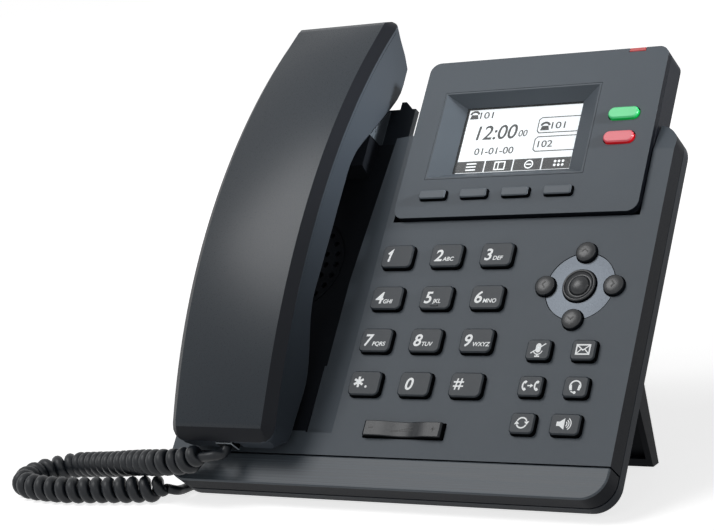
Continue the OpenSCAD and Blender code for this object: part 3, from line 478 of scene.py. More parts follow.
def reworked(mesh: bpy.types.Mesh, merge_m: float, *changes: Change) -> None:
    """Merge a mesh's double points and make the changes to it."""
    work = bmesh.new()
    work.from_mesh(mesh)
    bmesh.ops.remove_doubles(work, verts=work.verts, dist=merge_m)
    for change in changes:
        change(work)
    work.to_mesh(mesh)
    work.free()


def flattened(work: Work) -> None:
    """Join faces that lie in one plane."""
    bmesh.ops.dissolve_limit(
        work, angle_limit=FLAT, verts=work.verts, edges=work.edges, use_dissolve_boundaries=False
    )


def smoothed(work: Work) -> None:
    """Shade every face smooth."""
    for face in work.faces:
        face.smooth = True


def sliced(work: Work, way: Vector, places: Iterable[float]) -> None:
    """Cut a mesh's faces along planes across a direction on the panel, at places in millimetres."""
    matrix = PANEL.matrix()
    across = (matrix.to_3x3() @ way).normalized()
    for place in places:
        bmesh.ops.bisect_plane(
            work,
            geom=work.verts[:] + work.edges[:] + work.faces[:],
            dist=FINE_MERGE_M,
            plane_co=matrix @ (way * place),
            plane_no=across,
        )


def plain_mesh(thing: Thing) -> bpy.types.Mesh:
    """Return what a text or a piece with live modifiers looks like, as a new mesh."""
    bpy.context.view_layer.update()
    graph = bpy.context.evaluated_depsgraph_get()
    return bpy.data.meshes.new_from_object(thing.evaluated_get(graph))


def baked(thing: Thing) -> Thing:
    """Turn a piece with live modifiers into a plain mesh, keeping its name and finishes."""
    mesh = plain_mesh(thing)
    old = thing.data
    thing.modifiers.clear()
    thing.data = mesh
    mesh.name = thing.name
    if old.users == 0:
        bpy.data.meshes.remove(old)
    return thing


def sides(finish: Finish) -> Zone:
    """Return the zone of the faces that don't look out of the panel."""
    return finish, lambda place, way: way.z <= FACES_OUT


def roundings(finish: Finish) -> Zone:
    """Return the zone of the rounded edges of a piece that stands square to the panel."""
    return finish, lambda place, way: max(map(abs, way)) < STANDS_SQUARE


def softened(
    node: str,
    finish: Finish,
    edge_mm: float,
    *zones: Zone,
    segments: int = 2,
    shape: Change | None = None,
) -> Thing:
    """Stand a copy of a CAD node with rounded edges in the node's place.

    Args:
        node: the CAD node.
        finish: the finish of every face that no zone picks.
        edge_mm: width of the rounding.
        zones: more finishes, each with its test; the last that holds wins.
        segments: steps across the rounding.
        shape: a change to the merged copy before its edges are rounded.

    Returns:
        The piece, riding on the node's body.
    """
    mesh = frame["nodes"][node].data.copy()
    thing = placed(node + "_dressed", mesh)
    reworked(mesh, MERGE_M, flattened, *([shape] if shape else []), smoothed)
    mesh.materials.clear()
    mesh.materials.append(finish.material())
    mesh.set_sharp_from_angle(angle=SHARP)
    bevel = thing.modifiers.new("edge", "BEVEL")
    bevel.width = edge_mm * MM
    bevel.segments = segments
    bevel.limit_method = "ANGLE"
    bevel.angle_limit = SHARP
    bevel.use_clamp_overlap = True
    bevel.miter_outer = "MITER_ARC"
    thing.modifiers.new("normals", "WEIGHTED_NORMAL").keep_sharp = True
    baked(thing)
    to_panel = PANEL.matrix().inverted()
    turn = PANEL.matrix().to_3x3().normalized().transposed()
    for number, (other, holds) in enumerate(zones, start=1):
        thing.data.materials.append(other.material())
        for polygon in thing.data.polygons:
            if holds(to_panel @ polygon.center, turn @ polygon.normal):
                polygon.material_index = number
    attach(thing, body_of(node))
    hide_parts(node)
    LOG.info("%s: %d faces", thing.name, len(thing.data.polygons))
    return thing


def dress(finish: Finish, *nodes: str) -> None:
    """Give CAD nodes that keep their own shape their finish."""
    for node in nodes:
        mesh = frame["nodes"][node].data
        mesh.materials.clear()
        mesh.materials.append(finish.material())


# ---------------------------------------------------------------- flat marks

Relief = Callable[[float, float], float]


def around(x: float, y: float, r: float, start: float, end: float, steps: int) -> list[Point]:
    """Return places round a middle from one angle to another, in degrees."""
    turns = [math.radians(start + (end - start) * i / steps) for i in range(steps + 1)]
    return [(x + r * math.cos(turn), y + r * math.sin(turn)) for turn in turns]


@dataclass
class Artwork:
    """Flat printing on the panel: strokes and filled shapes, in millimetres about a middle."""

    middle: Triple
    thickness: float = 0.04
    relief: Relief = lambda x, y: 0.0
    sunk: float = 0.02
    least_mitre: float = 0.35
    capital: float = 0.729  # height of a capital as a share of the font's size
    points: list[Triple] = field(default_factory=list)
    faces: list[tuple[int, ...]] = field(default_factory=list)

    def fill(self, outline: Sequence[Point]) -> None:
        """Add a convex shape that runs anticlockwise."""
        start = len(self.points)
        n = len(outline)
        for lift in (-self.sunk, self.thickness):
            self.points += [(x, y, self.relief(x, y) + lift) for x, y in outline]
        self.faces.append(tuple(start + n + i for i in range(n)))
        self.faces.append(tuple(start + n - 1 - i for i in range(n)))
        for i in range(n):
            j = (i + 1) % n
            self.faces.append((start + i, start + j, start + n + j, start + n + i))

    def stroke(self, line: Sequence[Point], width: float) -> None:
        """Add a line of even width with mitred corners; it closes where its ends meet."""
        closed = line[0] == line[-1]
        pts = [Vector(p) for p in (line[:-1] if closed else line)]
        n = len(pts)
        edges: list[tuple[Vector, Vector]] = []
        for i, p in enumerate(pts):
            before = [p - pts[i - 1]] if i > 0 or closed else []
            after = [pts[(i + 1) % n] - p] if i < n - 1 or closed else []
            ways = [way.normalized() for way in before + after]
            way = sum(ways, Vector((0, 0))).normalized()
            across = Vector((-way.y, way.x))
            square = across.dot(Vector((-ways[0].y, ways[0].x)))
            reach = width / 2 / max(self.least_mitre, square)
            edges.append((p - across * reach, p + across * reach))
        for i in range(n if closed else n - 1):
            a, b = edges[i], edges[(i + 1) % n]
            self.fill([tuple(a[0]), tuple(b[0]), tuple(b[1]), tuple(a[1])])

    def disc(self, x: float, y: float, r: float, steps: int = 20) -> None:
        """Add a filled disc."""
        self.fill(around(x, y, r, 0, 360, steps)[:-1])

    def arc(
        self, x: float, y: float, r: float, start: float, end: float, width: float, steps: int = 14
    ) -> None:
        """Add part of a ring from one angle to another, in degrees."""
        self.stroke(around(x, y, r, start, end, steps), width)

    def text(
        self,
        words: str,
        x: float,
        y: float,
        height: float,
        shear: float = 0.0,
        bold: float = 0.0,
        fit: float = 0.0,
    ) -> None:
        """Add lettering.

        Args:
            words: what it says.
            x: its left side.
            y: its foot.
            height: height of its capitals.
            shear: slant to the right.
            bold: growth of each stroke.
            fit: the width that it is drawn to, or 0 to leave it as it comes.
        """
        curve = bpy.data.curves.new("words", "FONT")
        curve.body = words
        curve.shear = shear
        curve.size = height / self.capital
        curve.offset = bold
        curve.extrude = self.thickness / 2
        thing = placed("words", curve)
        mesh = plain_mesh(thing)
        start = len(self.points)
        across = [v.co.x for v in mesh.vertices]
        left = min(across)
        draw = fit / (max(across) - left) if fit else 1.0
        for v in mesh.vertices:
            px, py = (v.co.x - left) * draw + x, v.co.y + y
            self.points.append((px, py, self.relief(px, py) + v.co.z + self.thickness / 2))
        for polygon in mesh.polygons:
            self.faces.append(tuple(start + i for i in polygon.vertices))
        bpy.data.meshes.remove(mesh)
        bpy.data.objects.remove(thing)
        bpy.data.curves.remove(curve)

    def piece(self, name: str, finish: Finish, body: str) -> Thing:
        """Make the printing a piece that rides on a body."""
        place = PANEL.matrix() @ Matrix.Translation(self.middle)
        thing = mesh_object(name, [place @ Vector(p) for p in self.points], self.faces, [finish])
        reworked(thing.data, FINE_MERGE_M)
        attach(thing, body)
        LOG.info("%s: %d faces", name, len(self.faces))
        return thing


@contextmanager
def printed(key: str, height: float, ink: Finish, **more: Relief) -> Iterator[Artwork]:
    """Lend the printing on a key's top to draw on, and then make it a piece that rides on the key.

    Args:
        key: the key's node, which has its body's name.
        height: how far the printing's foot lies out of the panel, in millimetres.
        ink: the printing's finish.
        more: the printing's relief, where the key's top isn't flat.

    Yields:
        The empty printing.
    """
    x, y, _ = PANEL.top(key)
    art = Artwork((x, y, height), **more)
    yield art
    art.piece(key + "_print", ink, key)


# ---------------------------------------------------------------- sub-assemblies


@dataclass
class Studio:
    """White room, soft lamps and the camera."""

    focal_mm: float = 100.4
    sensor_mm: float = 36.0
    eye_mm: Triple = (387.75, -660.1, 215.3)
    right: Triple = (0.8477, 0.5157, -0.1243)
    up: Triple = (0.0166, 0.2084, 0.9779)
    aim_m: Triple = (0, 0, 0.1)
    ear_m: Triple = (-0.035, 0.026, 0.14)
    floor_m: float = 6.0
    floor_grey: float = 0.8
    ambient: float = 0.08
    floor_glow: float = 0.76
    fade_m: Point = (0.25, 0.75)

    def camera(self) -> None:
        """Set the camera that looks down at the telephone from its right."""
        data = bpy.data.cameras.new("camera")
        data.lens = self.focal_mm
        data.sensor_width = self.sensor_mm
        data.clip_start = 0.05
        right = Vector(self.right).normalized()
        back = right.cross(Vector(self.up)).normalized()
        turn = Matrix((right, back.cross(right), back)).transposed().to_4x4()
        thing = placed("camera", data)
        thing.matrix_world = Matrix.Translation(Vector(self.eye_mm) * MM) @ turn
        bpy.context.scene.camera = thing

    @staticmethod
    def lamp(
        name: str, place: Triple, aim: Triple, size: float, power: float, spread: float = 180.0
    ) -> None:
        """Hang one square soft lamp and aim it.

        Args:
            name: the lamp's name.
            place: where it hangs, in metres.
            aim: what it points at, in metres.
            size: length of its side, in metres.
            power: its power in watts.
            spread: angle of its cone in degrees; a small one is a grid over the softbox.
        """
        data = bpy.data.lights.new(name, "AREA")
        data.energy = power
        data.size = size
        data.spread = math.radians(spread)
        thing = placed(name, data)
        thing.location = place
        thing.rotation_euler = (Vector(aim) - Vector(place)).to_track_quat("-Z", "Y").to_euler()

    @staticmethod
    def seen(tree: Tree) -> Socket:
        """Return 1 where the room is seen straight, in gloss or through glass, and 0 elsewhere."""
        path = add_node(tree, "ShaderNodeLightPath", {}, {}).outputs
        seen = path["Is Camera Ray"]
        for other in ("Is Transmission Ray", "Is Glossy Ray"):
            links = {0: seen, 1: path[other]}
            seen = add_node(tree, "ShaderNodeMath", {"operation": "MAXIMUM"}, links).outputs[0]
        return seen

    def world(self) -> None:
        """Light the room dimly, and show it white."""
        world = bpy.data.worlds.new("room")
        bpy.context.scene.world = world
        world.use_nodes = True
        tree = world.node_tree
        tree.nodes.clear()
        strength = ranged(tree, self.seen(tree), self.ambient, 1.0)
        sky = add_node(tree, "ShaderNodeBackground", WHITE, {"Strength": strength})
        add_node(tree, "ShaderNodeOutputWorld", {}, {"Surface": sky.outputs["Background"]})

    def floor(self) -> None:
        """Lay the floor, which keeps the object's shadow and fades to white around it."""
        material, tree = new_tree("floor_white")
        grey = {"Color": (self.floor_grey, self.floor_grey, self.floor_grey, 1)}
        paint = add_node(tree, "ShaderNodeBsdfDiffuse", grey, {}).outputs[0]
        place = add_node(tree, "ShaderNodeTexCoord", {}, {}).outputs["Object"]
        far = add_node(tree, "ShaderNodeVectorMath", {"operation": "LENGTH"}, {0: place})
        start, end = self.fade_m
        rise = ranged(tree, far.outputs["Value"], self.floor_glow, 1.0, start, end)
        links = {0: self.seen(tree), 1: rise}
        bright = add_node(tree, "ShaderNodeMath", {"operation": "MULTIPLY"}, links).outputs[0]
        glow = add_node(tree, "ShaderNodeEmission", WHITE, {"Strength": bright}).outputs[0]
        both = add_node(tree, "ShaderNodeAddShader", {}, {0: paint, 1: glow}).outputs[0]
        add_node(tree, "ShaderNodeOutputMaterial", {}, {"Surface": both})
        half = self.floor_m
        corners = [(-half, -half, 0), (half, -half, 0), (half, half, 0), (-half, half, 0)]
        mesh = bpy.data.meshes.new("floor")
        mesh.from_pydata(corners, [], [(0, 1, 2, 3)])
        mesh.materials.append(material)
        placed("floor", mesh)

    def build(self) -> None:
        """Set up the camera, the room and the lamps."""
        self.camera()
        self.world()
        self.floor()
        self.lamp("key_lamp", (-0.68, -0.62, 1.42), self.aim_m, 0.75, 10)
        self.lamp("right_lamp", (1.3, -0.8, 0.9), self.aim_m, 0.8, 1.2)
        self.lamp("front_lamp", (0.1, -1.5, 1.2), self.aim_m, 0.8, 1.2)
        self.lamp("ear_lamp", (0.63, 0.058, 0.343), self.ear_m, 0.1, 0.05, spread=12)
        bpy.context.scene.view_settings.view_transform = "Standard"


@dataclass
class CurlyCord:
    """The handset's cord: a straight tail, a long coil laid on the desk and a tail to the base."""

    wire: float = 4.7
    lead: float = 3.9
    outer: float = 10.8
    pitch: float = 5.5
    run_in: float = 0.75  # pitches over which the coil opens to its full width
    sides: int = 12
    per_turn: int = 20
    plug_edge: float = 0.35
    sway_m: Point = (-0.0935, -0.063)  # a place, in metres
    tail: tuple[Triple, ...] = ((-62.2, -9.97, 24.32), (-62.6, -12.4, 22.2), (-65.2, -15.6, 22.2))
    coil: tuple[Triple, ...] = (
        (-70.4, -16, 21.5), (-81.5, -14.7, 19.2), (-92, -13.8, 18), (-110, -6.5, 15),
        (-128, 1, 11.5), (-148, 9.5, 8), (-159, 12.5, 6.4), (-168, 8, 5.6), (-171.5, -1, 5.5),
        (-168, -10.5, 5.5), (-158, -15.4, 5.5), (-140, -16.7, 5.5), (-123, -14.2, 5.5),
        (-110, -12, 5.5), (-95.5, -8.3, 5.5),
    )
    back_tail: tuple[Triple, ...] = (
        (-95.5, -8.3, 5.5), (-93.8, -5.5, 4), (-94.6, 0, 2.6), (-93.4, 8, 2.4), (-86, 16, 2.4),
        (-74, 21, 2.6), (-60, 22.5, 5), (-47, 24.5, 12), (-38.6, 29, 22.5), (-36.8, 33.3, 28.7),
        (-36.8, 35.2, 31.0),
    )

    @staticmethod
    def in_model(line: np.ndarray) -> np.ndarray:
        """Turn places on the route, in millimetres, into places in the model, in metres."""
        return (line + np.array([0, -PANEL.middle, 0])) * MM

    @staticmethod
    def curve(points: Sequence[Triple], step: float) -> np.ndarray:
        """Return places along a smooth curve through the points, about one step apart."""
        p = np.array(points, float)
        out = []
        for i in range(len(p) - 1):
            a, b, c, d = p[max(i - 1, 0)], p[i], p[i + 1], p[min(i + 2, len(p) - 1)]
            n = max(2, int(np.linalg.norm(c - b) / step))
            bend, swing = 2 * a - 5 * b + 4 * c - d, 3 * b - a - 3 * c + d
            for t in np.arange(n) / n:
                out.append(0.5 * (2 * b + (c - a) * t + bend * t * t + swing * t**3))
        out.append(p[-1])
        return np.array(out)

    @staticmethod
    def crosswise(line: np.ndarray) -> tuple[np.ndarray, np.ndarray]:
        """Return two directions across a line that don't twist along it."""
        ways = np.gradient(line, axis=0)
        ways /= np.linalg.norm(ways, axis=1)[:, None]
        side = np.cross(ways[0], (0, 0, 1.0))
        first = []
        for way in ways:
            side = side - way * side.dot(way)
            side = side / np.linalg.norm(side)
            first.append(side)
        return np.array(first), np.cross(ways, np.array(first))

    def tube(self, name: str, line: np.ndarray, thick: np.ndarray) -> Thing:
        """Sweep a round section of the given diameters along a line in millimetres."""
        first, second = (way[:, None, :] for way in self.crosswise(line))
        turn = np.arange(self.sides) * 2 * math.pi / self.sides
        ring = np.cos(turn)[None, :, None] * first + np.sin(turn)[None, :, None] * second
        points = (line[:, None, :] + ring * thick[:, None, None] / 2).reshape(-1, 3)
        n, m = len(line), self.sides
        faces = [
            (i * m + j, i * m + (j + 1) % m, (i + 1) * m + (j + 1) % m, (i + 1) * m + j)
            for i in range(n - 1)
            for j in range(m)
        ]
        faces += [tuple(range(m - 1, -1, -1)), tuple((n - 1) * m + j for j in range(m))]
        thing = mesh_object(name, self.in_model(points), faces, [CORD])
        thing.data.shade_smooth()
        return thing

    def wound(self) -> tuple[np.ndarray, np.ndarray]:
        """Return the wire's centreline and thickness down the near tail and round every turn."""
        tail = self.curve(self.tail + self.coil[:1], 0.8)[:-1]
        coil = self.curve(self.coil, 0.25)
        gaps = np.linalg.norm(np.diff(coil, axis=0), axis=1)
        along = np.concatenate([[0], np.cumsum(gaps)])
        steps = int(along[-1] / self.pitch * self.per_turn)
        where = np.linspace(0, along[-1], steps + 1)
        grow = np.minimum(where, along[-1] - where) / (self.run_in * self.pitch)
        grow = np.clip(grow, 0, 1)
        r = (self.outer - self.wire) / 2 * grow * grow * (3 - 2 * grow)
        angle = 2 * math.pi * where / self.pitch
        centre, one, two = (
            np.stack([np.interp(where, along, part[:, k]) for k in range(3)], axis=1)
            for part in (coil, *self.crosswise(coil))
        )
        helix = centre + r[:, None] * (np.cos(angle)[:, None] * one + np.sin(angle)[:, None] * two)
        thick = self.lead + (self.wire - self.lead) * grow
        return (
            np.concatenate([tail, helix]),
            np.concatenate([np.full(len(tail), self.lead), thick]),
        )

    def declare(
        self, cord: Thing, line: np.ndarray
    ) -> None:
        """Log a cord's length.

        Args:
            cord: the cord's piece.
            line: its centreline on the route.
        """
        length = float(np.linalg.norm(np.diff(line, axis=0), axis=1).sum() * MM)
        LOG.info("%s %.3f m", cord.name, length)

    def build(self) -> None:
        """Make the coiled cord and the tail that goes under the base."""
        # The plugs' rounded corners get a painted highlight.
        for node in ("handset_plug", "base_plug"):
            softened(node, PLUG, self.plug_edge, roundings(PLUG_EDGE_HIGHLIGHT))
        line, thick = self.wound()
        cord = self.tube("handset_cord", line, thick)
        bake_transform(cord)
        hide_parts("handset_tail", "cord_coil")
        self.declare(cord, line)
        line = self.curve(self.back_tail, 1.5)
        cord = self.tube("base_cord", line, np.full(len(line), self.lead))
        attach(cord, "base")
        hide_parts("base_tail")
        self.declare(cord, line)


@dataclass
class Housing:
    """The fixed shells, the stand, the feet and what shows of the inside."""

    edge: float = 0.5
    front_edge: float = 0.45
    trim_edge: float = 0.6
    feet_edge: float = 0.2
    recess_foot: float = 23.5
    recess_side: tuple[Point, ...] = ((20.0, -33.9), (100.0, -33.0), (153.4, -29.5))
    top_edge: float = 153.4
    cheek_left: float = -41.0

    def in_recess(self, place: Vector, way: Vector) -> bool:
        """Tell whether a place on the front lies in the handset's recess."""
        right = float(np.interp(place.y, *zip(*self.recess_side)))
        return place.x < right and place.y > self.recess_foot

    def on_cheek(self, place: Vector, way: Vector) -> bool:
        """Tell whether a face of the tray stands out above the front, beside the display."""
        return place.y > self.top_edge and place.x > self.cheek_left and way.z > -0.5

    def build(self) -> None:
        """Round the mouldings' edges and dress every fixed piece."""
        # Painted shade: the recess and the faces turned away from the front get darker greys.
        recess = (RECESS_SHADE, self.in_recess)
        softened("front_shell", FACE, self.front_edge, sides(HOUSING_SIDE_SHADE), recess)
        softened("trim_strip", TRIM, self.trim_edge, sides(HOUSING_SIDE_SHADE))
        softened("rear_shell", REAR, self.edge, (FACE, self.on_cheek))
        softened("stand", STAND, self.edge)
        softened("rubber_feet", RUBBER, self.feet_edge)
        dress(DRIVER, "speaker_driver")
        dress(MEMBRANE, "keypad_membrane")
        dress(BOARD, "main_board")
        dress(PORT, "network_sockets")
        dress(SOCKET, "hook_plunger", "cord_sockets", "power_socket")


@dataclass
class Keypad:
    """Number and function keys with their printing."""

    digits: str = "1234567890"
    groups: tuple[str, ...] = ("", "ABC", "DEF", "GHI", "JKL", "MNO", "PQRS", "TUV", "WXYZ", "")
    slant: float = 0.14
    rise: float = 2.3
    saddle: float = 11.46
    dip: float = 1.1
    edge: float = 0.22
    small_edge: float = 0.2
    rocker_edge: float = 0.3

    def sign(self, key: str) -> AbstractContextManager[Artwork]:
        """Lend the white printing on a key's top."""
        return printed(key, self.rise, WHITE_INK)

    def numbers(self) -> None:
        """Print each number with its group of letters, the star and the hash."""
        for digit, group in zip(self.digits, self.groups):
            with self.sign("key_" + digit) as art:
                if digit == "1":
                    art.stroke([(-4.1, 0.9), (-2.6, 2.2), (-3.5, -2.4)], 0.85)
                else:
                    left = -4.7 if group else -3.7
                    art.text(digit, left, -2.5, 5.0, shear=self.slant, bold=0.12)
                if group:
                    art.text(group, -1.0, -2.5, 1.75, shear=self.slant, bold=0.045)
        with self.sign("key_star") as art:
            for turn in (90, 30, -30):
                c, s = math.cos(math.radians(turn)), math.sin(math.radians(turn))
                art.stroke([(-2.6 - 2.2 * c, 0.3 - 2.2 * s), (-2.6 + 2.2 * c, 0.3 + 2.2 * s)], 0.95)
            art.disc(0.9, -1.6, 0.5)
        with self.sign("key_hash") as art:
            for k in (-1, 1):
                art.stroke([(-3.3 + k * 0.85, -2.2), (-2.6 + k * 0.85, 2.4)], 0.6)
                art.stroke([(-5.1, 0.1 + k * 0.85), (-0.8, 0.1 + k * 0.85)], 0.6)

    def functions(self) -> None:
        """Print the plain signs on the function keys."""
        with self.sign("key_mute") as art:
            art.disc(0.1, 1.35, 1.05)
            art.fill([(-0.95, -0.3), (1.15, -0.3), (1.15, 1.35), (-0.95, 1.35)])
            art.disc(0.1, -0.3, 1.05)
            art.arc(0.1, -0.3, 1.75, 190, 350, 0.38)
            art.stroke([(0.1, -1.95), (0.1, -2.9)], 0.55)
            art.stroke([(-0.9, -2.85), (1.1, -2.85)], 0.5)
            art.stroke([(-2.7, -1.6), (2.9, 2.3)], 0.42)
        with self.sign("key_message") as art:
            art.stroke(
                [(-2.6, -1.85), (2.6, -1.85), (2.6, 1.85), (-2.6, 1.85), (-2.6, -1.85)], 0.55
            )
            art.stroke([(-2.5, 1.7), (0, -0.25), (2.5, 1.7)], 0.45)
            art.stroke([(-2.5, -1.7), (-0.7, 0.1)], 0.4)
            art.stroke([(2.5, -1.7), (0.7, 0.1)], 0.4)
        with self.sign("key_transfer") as art:
            for x in (-0.6, 4.3):
                art.arc(x, 0, 2.35, 135, 225, 0.62)
                for end in (1, -1):
                    art.stroke([(x - 1.75, end * 1.7), (x - 0.95, end * 1.2)], 1.05)
            art.stroke([(-1.0, 0), (0.5, 0)], 0.5)
            art.fill([(0.2, -0.85), (1.3, 0), (0.2, 0.85)])
        with self.sign("key_headset") as art:
            art.arc(0, 0.1, 2.1, -35, 215, 0.55, steps=24)
            for side in (-1, 1):
                art.stroke([(side * 1.85, 0.6), (side * 1.5, -1.5)], 0.95)
            art.arc(0, 0.1, 2.45, 235, 262, 0.45)
            art.disc(0.1, -2.4, 0.55)
        with self.sign("key_redial") as art:
            for turn in (0, 180):
                art.arc(0, 0, 2.0, turn + 22, turn + 158, 0.55, steps=16)
                c, s = math.cos(math.radians(turn + 6)), math.sin(math.radians(turn + 6))
                tip = (2.0 * c + 0.95 * s, 2.0 * s - 0.95 * c)
                back = [(r * c - 0.35 * s, r * s + 0.35 * c) for r in (3.0, 1.0)]
                art.fill([tip, *back])
        with self.sign("key_speaker") as art:
            art.fill([(-3.2, -0.85), (-2.0, -0.85), (-2.0, 0.85), (-3.2, 0.85)])
            art.fill([(-2.0, -0.85), (-0.1, -2.2), (-0.1, 2.2), (-2.0, 0.85)])
            for r in (1.0, 1.8, 2.6):
                art.arc(-0.1, 0, r, -54, 54, 0.38)

    def saddled(self, x: float, y: float) -> float:
        """Return how far the rocker's top dips below its ends at a place."""
        t = min(1.0, abs(x) / self.saddle)
        return -self.dip * (1 - t * t * (3 - 2 * t))

    def rocker(self) -> None:
        """Print the minus, the plus and the rising wedge on the volume rocker."""
        left, wide, steps = -4.6, 9.2, 12
        low = [(left + wide * i / steps, -1.0 + 0.5 * i / steps) for i in range(steps + 1)]
        high = [(x, -0.85 + 1.9 * ((x - left) / wide) ** 1.3) for x, _ in low]
        with printed("volume_rocker", self.rise, BLACK_INK, relief=self.saddled) as art:
            art.stroke([(-14.4, 0.1), (-12.6, 0.1)], 0.55)
            art.stroke([(12.4, 0.1), (14.2, 0.1)], 0.55)
            art.stroke([(13.3, -0.8), (13.3, 1.0)], 0.55)
            art.stroke(low, 0.3)
            art.stroke(high, 0.3)

    def build(self) -> None:
        """Round and dress the keys, then print them."""
        # Every key's sides get painted shade, near black.
        softened("volume_rocker", ROCKER, self.rocker_edge, sides(KEY_SIDE_SHADE))
        for start, finish, edge in (
            ("key_", KEY_TOP, self.edge),
            ("soft_key_", SOFT_KEY_TOP, self.small_edge),
        ):
            for node in [n for n in frame["nodes"] if n.startswith(start)]:
                softened(node, finish, edge, sides(KEY_SIDE_SHADE))
        softened("line_key_green", GREEN_KEY, self.small_edge, sides(GREEN_SIDE))
        softened("line_key_red", RED_KEY, self.small_edge, sides(RED_SIDE))
        self.numbers()
        self.functions()
        self.rocker()


class Arrow(Enum):
    """The four arrow keys and the way each points, in degrees anticlockwise from the right."""

    RIGHT = 0
    UP = 90
    LEFT = 180
    DOWN = 270


@dataclass
class NavigationCluster:
    """Blasted disc, four domed arrow keys and the knobbed OK key."""

    radius: float = 4.0
    dome: float = 0.9
    crown: float = 0.6
    disc: float = 17.0
    cuts: int = 9
    disc_edge: float = 0.12
    ok_edge: float = 0.2
    arrow_edge: float = 0.15
    gap: float = 0.05

    def relief(self, x: float, y: float) -> float:
        """Return the dome's drop below its crown at a place."""
        t = min(0.99, math.hypot(x, y) / self.radius)
        return -self.dome * (1 - math.sqrt(1 - t * t))

    def domed(self, work: Work) -> None:
        """Crown the disc's front, so that its satin runs from dark to light."""
        low, high = PANEL.box("nav_disc")
        middle = (low + high) / 2
        steps = range(1 - self.cuts, self.cuts)
        for way in (Vector((1, 0, 0)), Vector((0, 1, 0))):
            sliced(work, way, [way.dot(middle) + self.disc * k / self.cuts for k in steps])
        to_panel = PANEL.matrix().inverted()
        out = PANEL.out()
        for vert in work.verts:
            place = to_panel @ vert.co
            if place.z > high.z - self.gap:
                far = math.hypot(place.x - middle.x, place.y - middle.y) / self.disc
                vert.co -= out * MM * self.crown * min(1.0, far * far)

    def build(self) -> None:
        """Dress the cluster and print a chevron on each arrow key."""
        # The disc's sides get painted shadow, black.
        softened("nav_disc", DISC, self.disc_edge, sides(SHADOW_GAP), shape=self.domed)
        softened("nav_ok", NAV_KEY, self.ok_edge)
        for arrow in Arrow:
            node = "nav_" + arrow.name.lower()
            softened(node, NAV_KEY, self.arrow_edge)
            c, s = math.cos(math.radians(arrow.value)), math.sin(math.radians(arrow.value))
            line = [(-0.45, 1.3), (0.6, 0.0), (-0.45, -1.3)]
            height = PANEL.top(node)[2] + self.gap
            with printed(node, height, BLACK_INK, relief=self.relief) as art:
                art.stroke([(x * c - y * s, x * s + y * c) for x, y in line], 0.55)


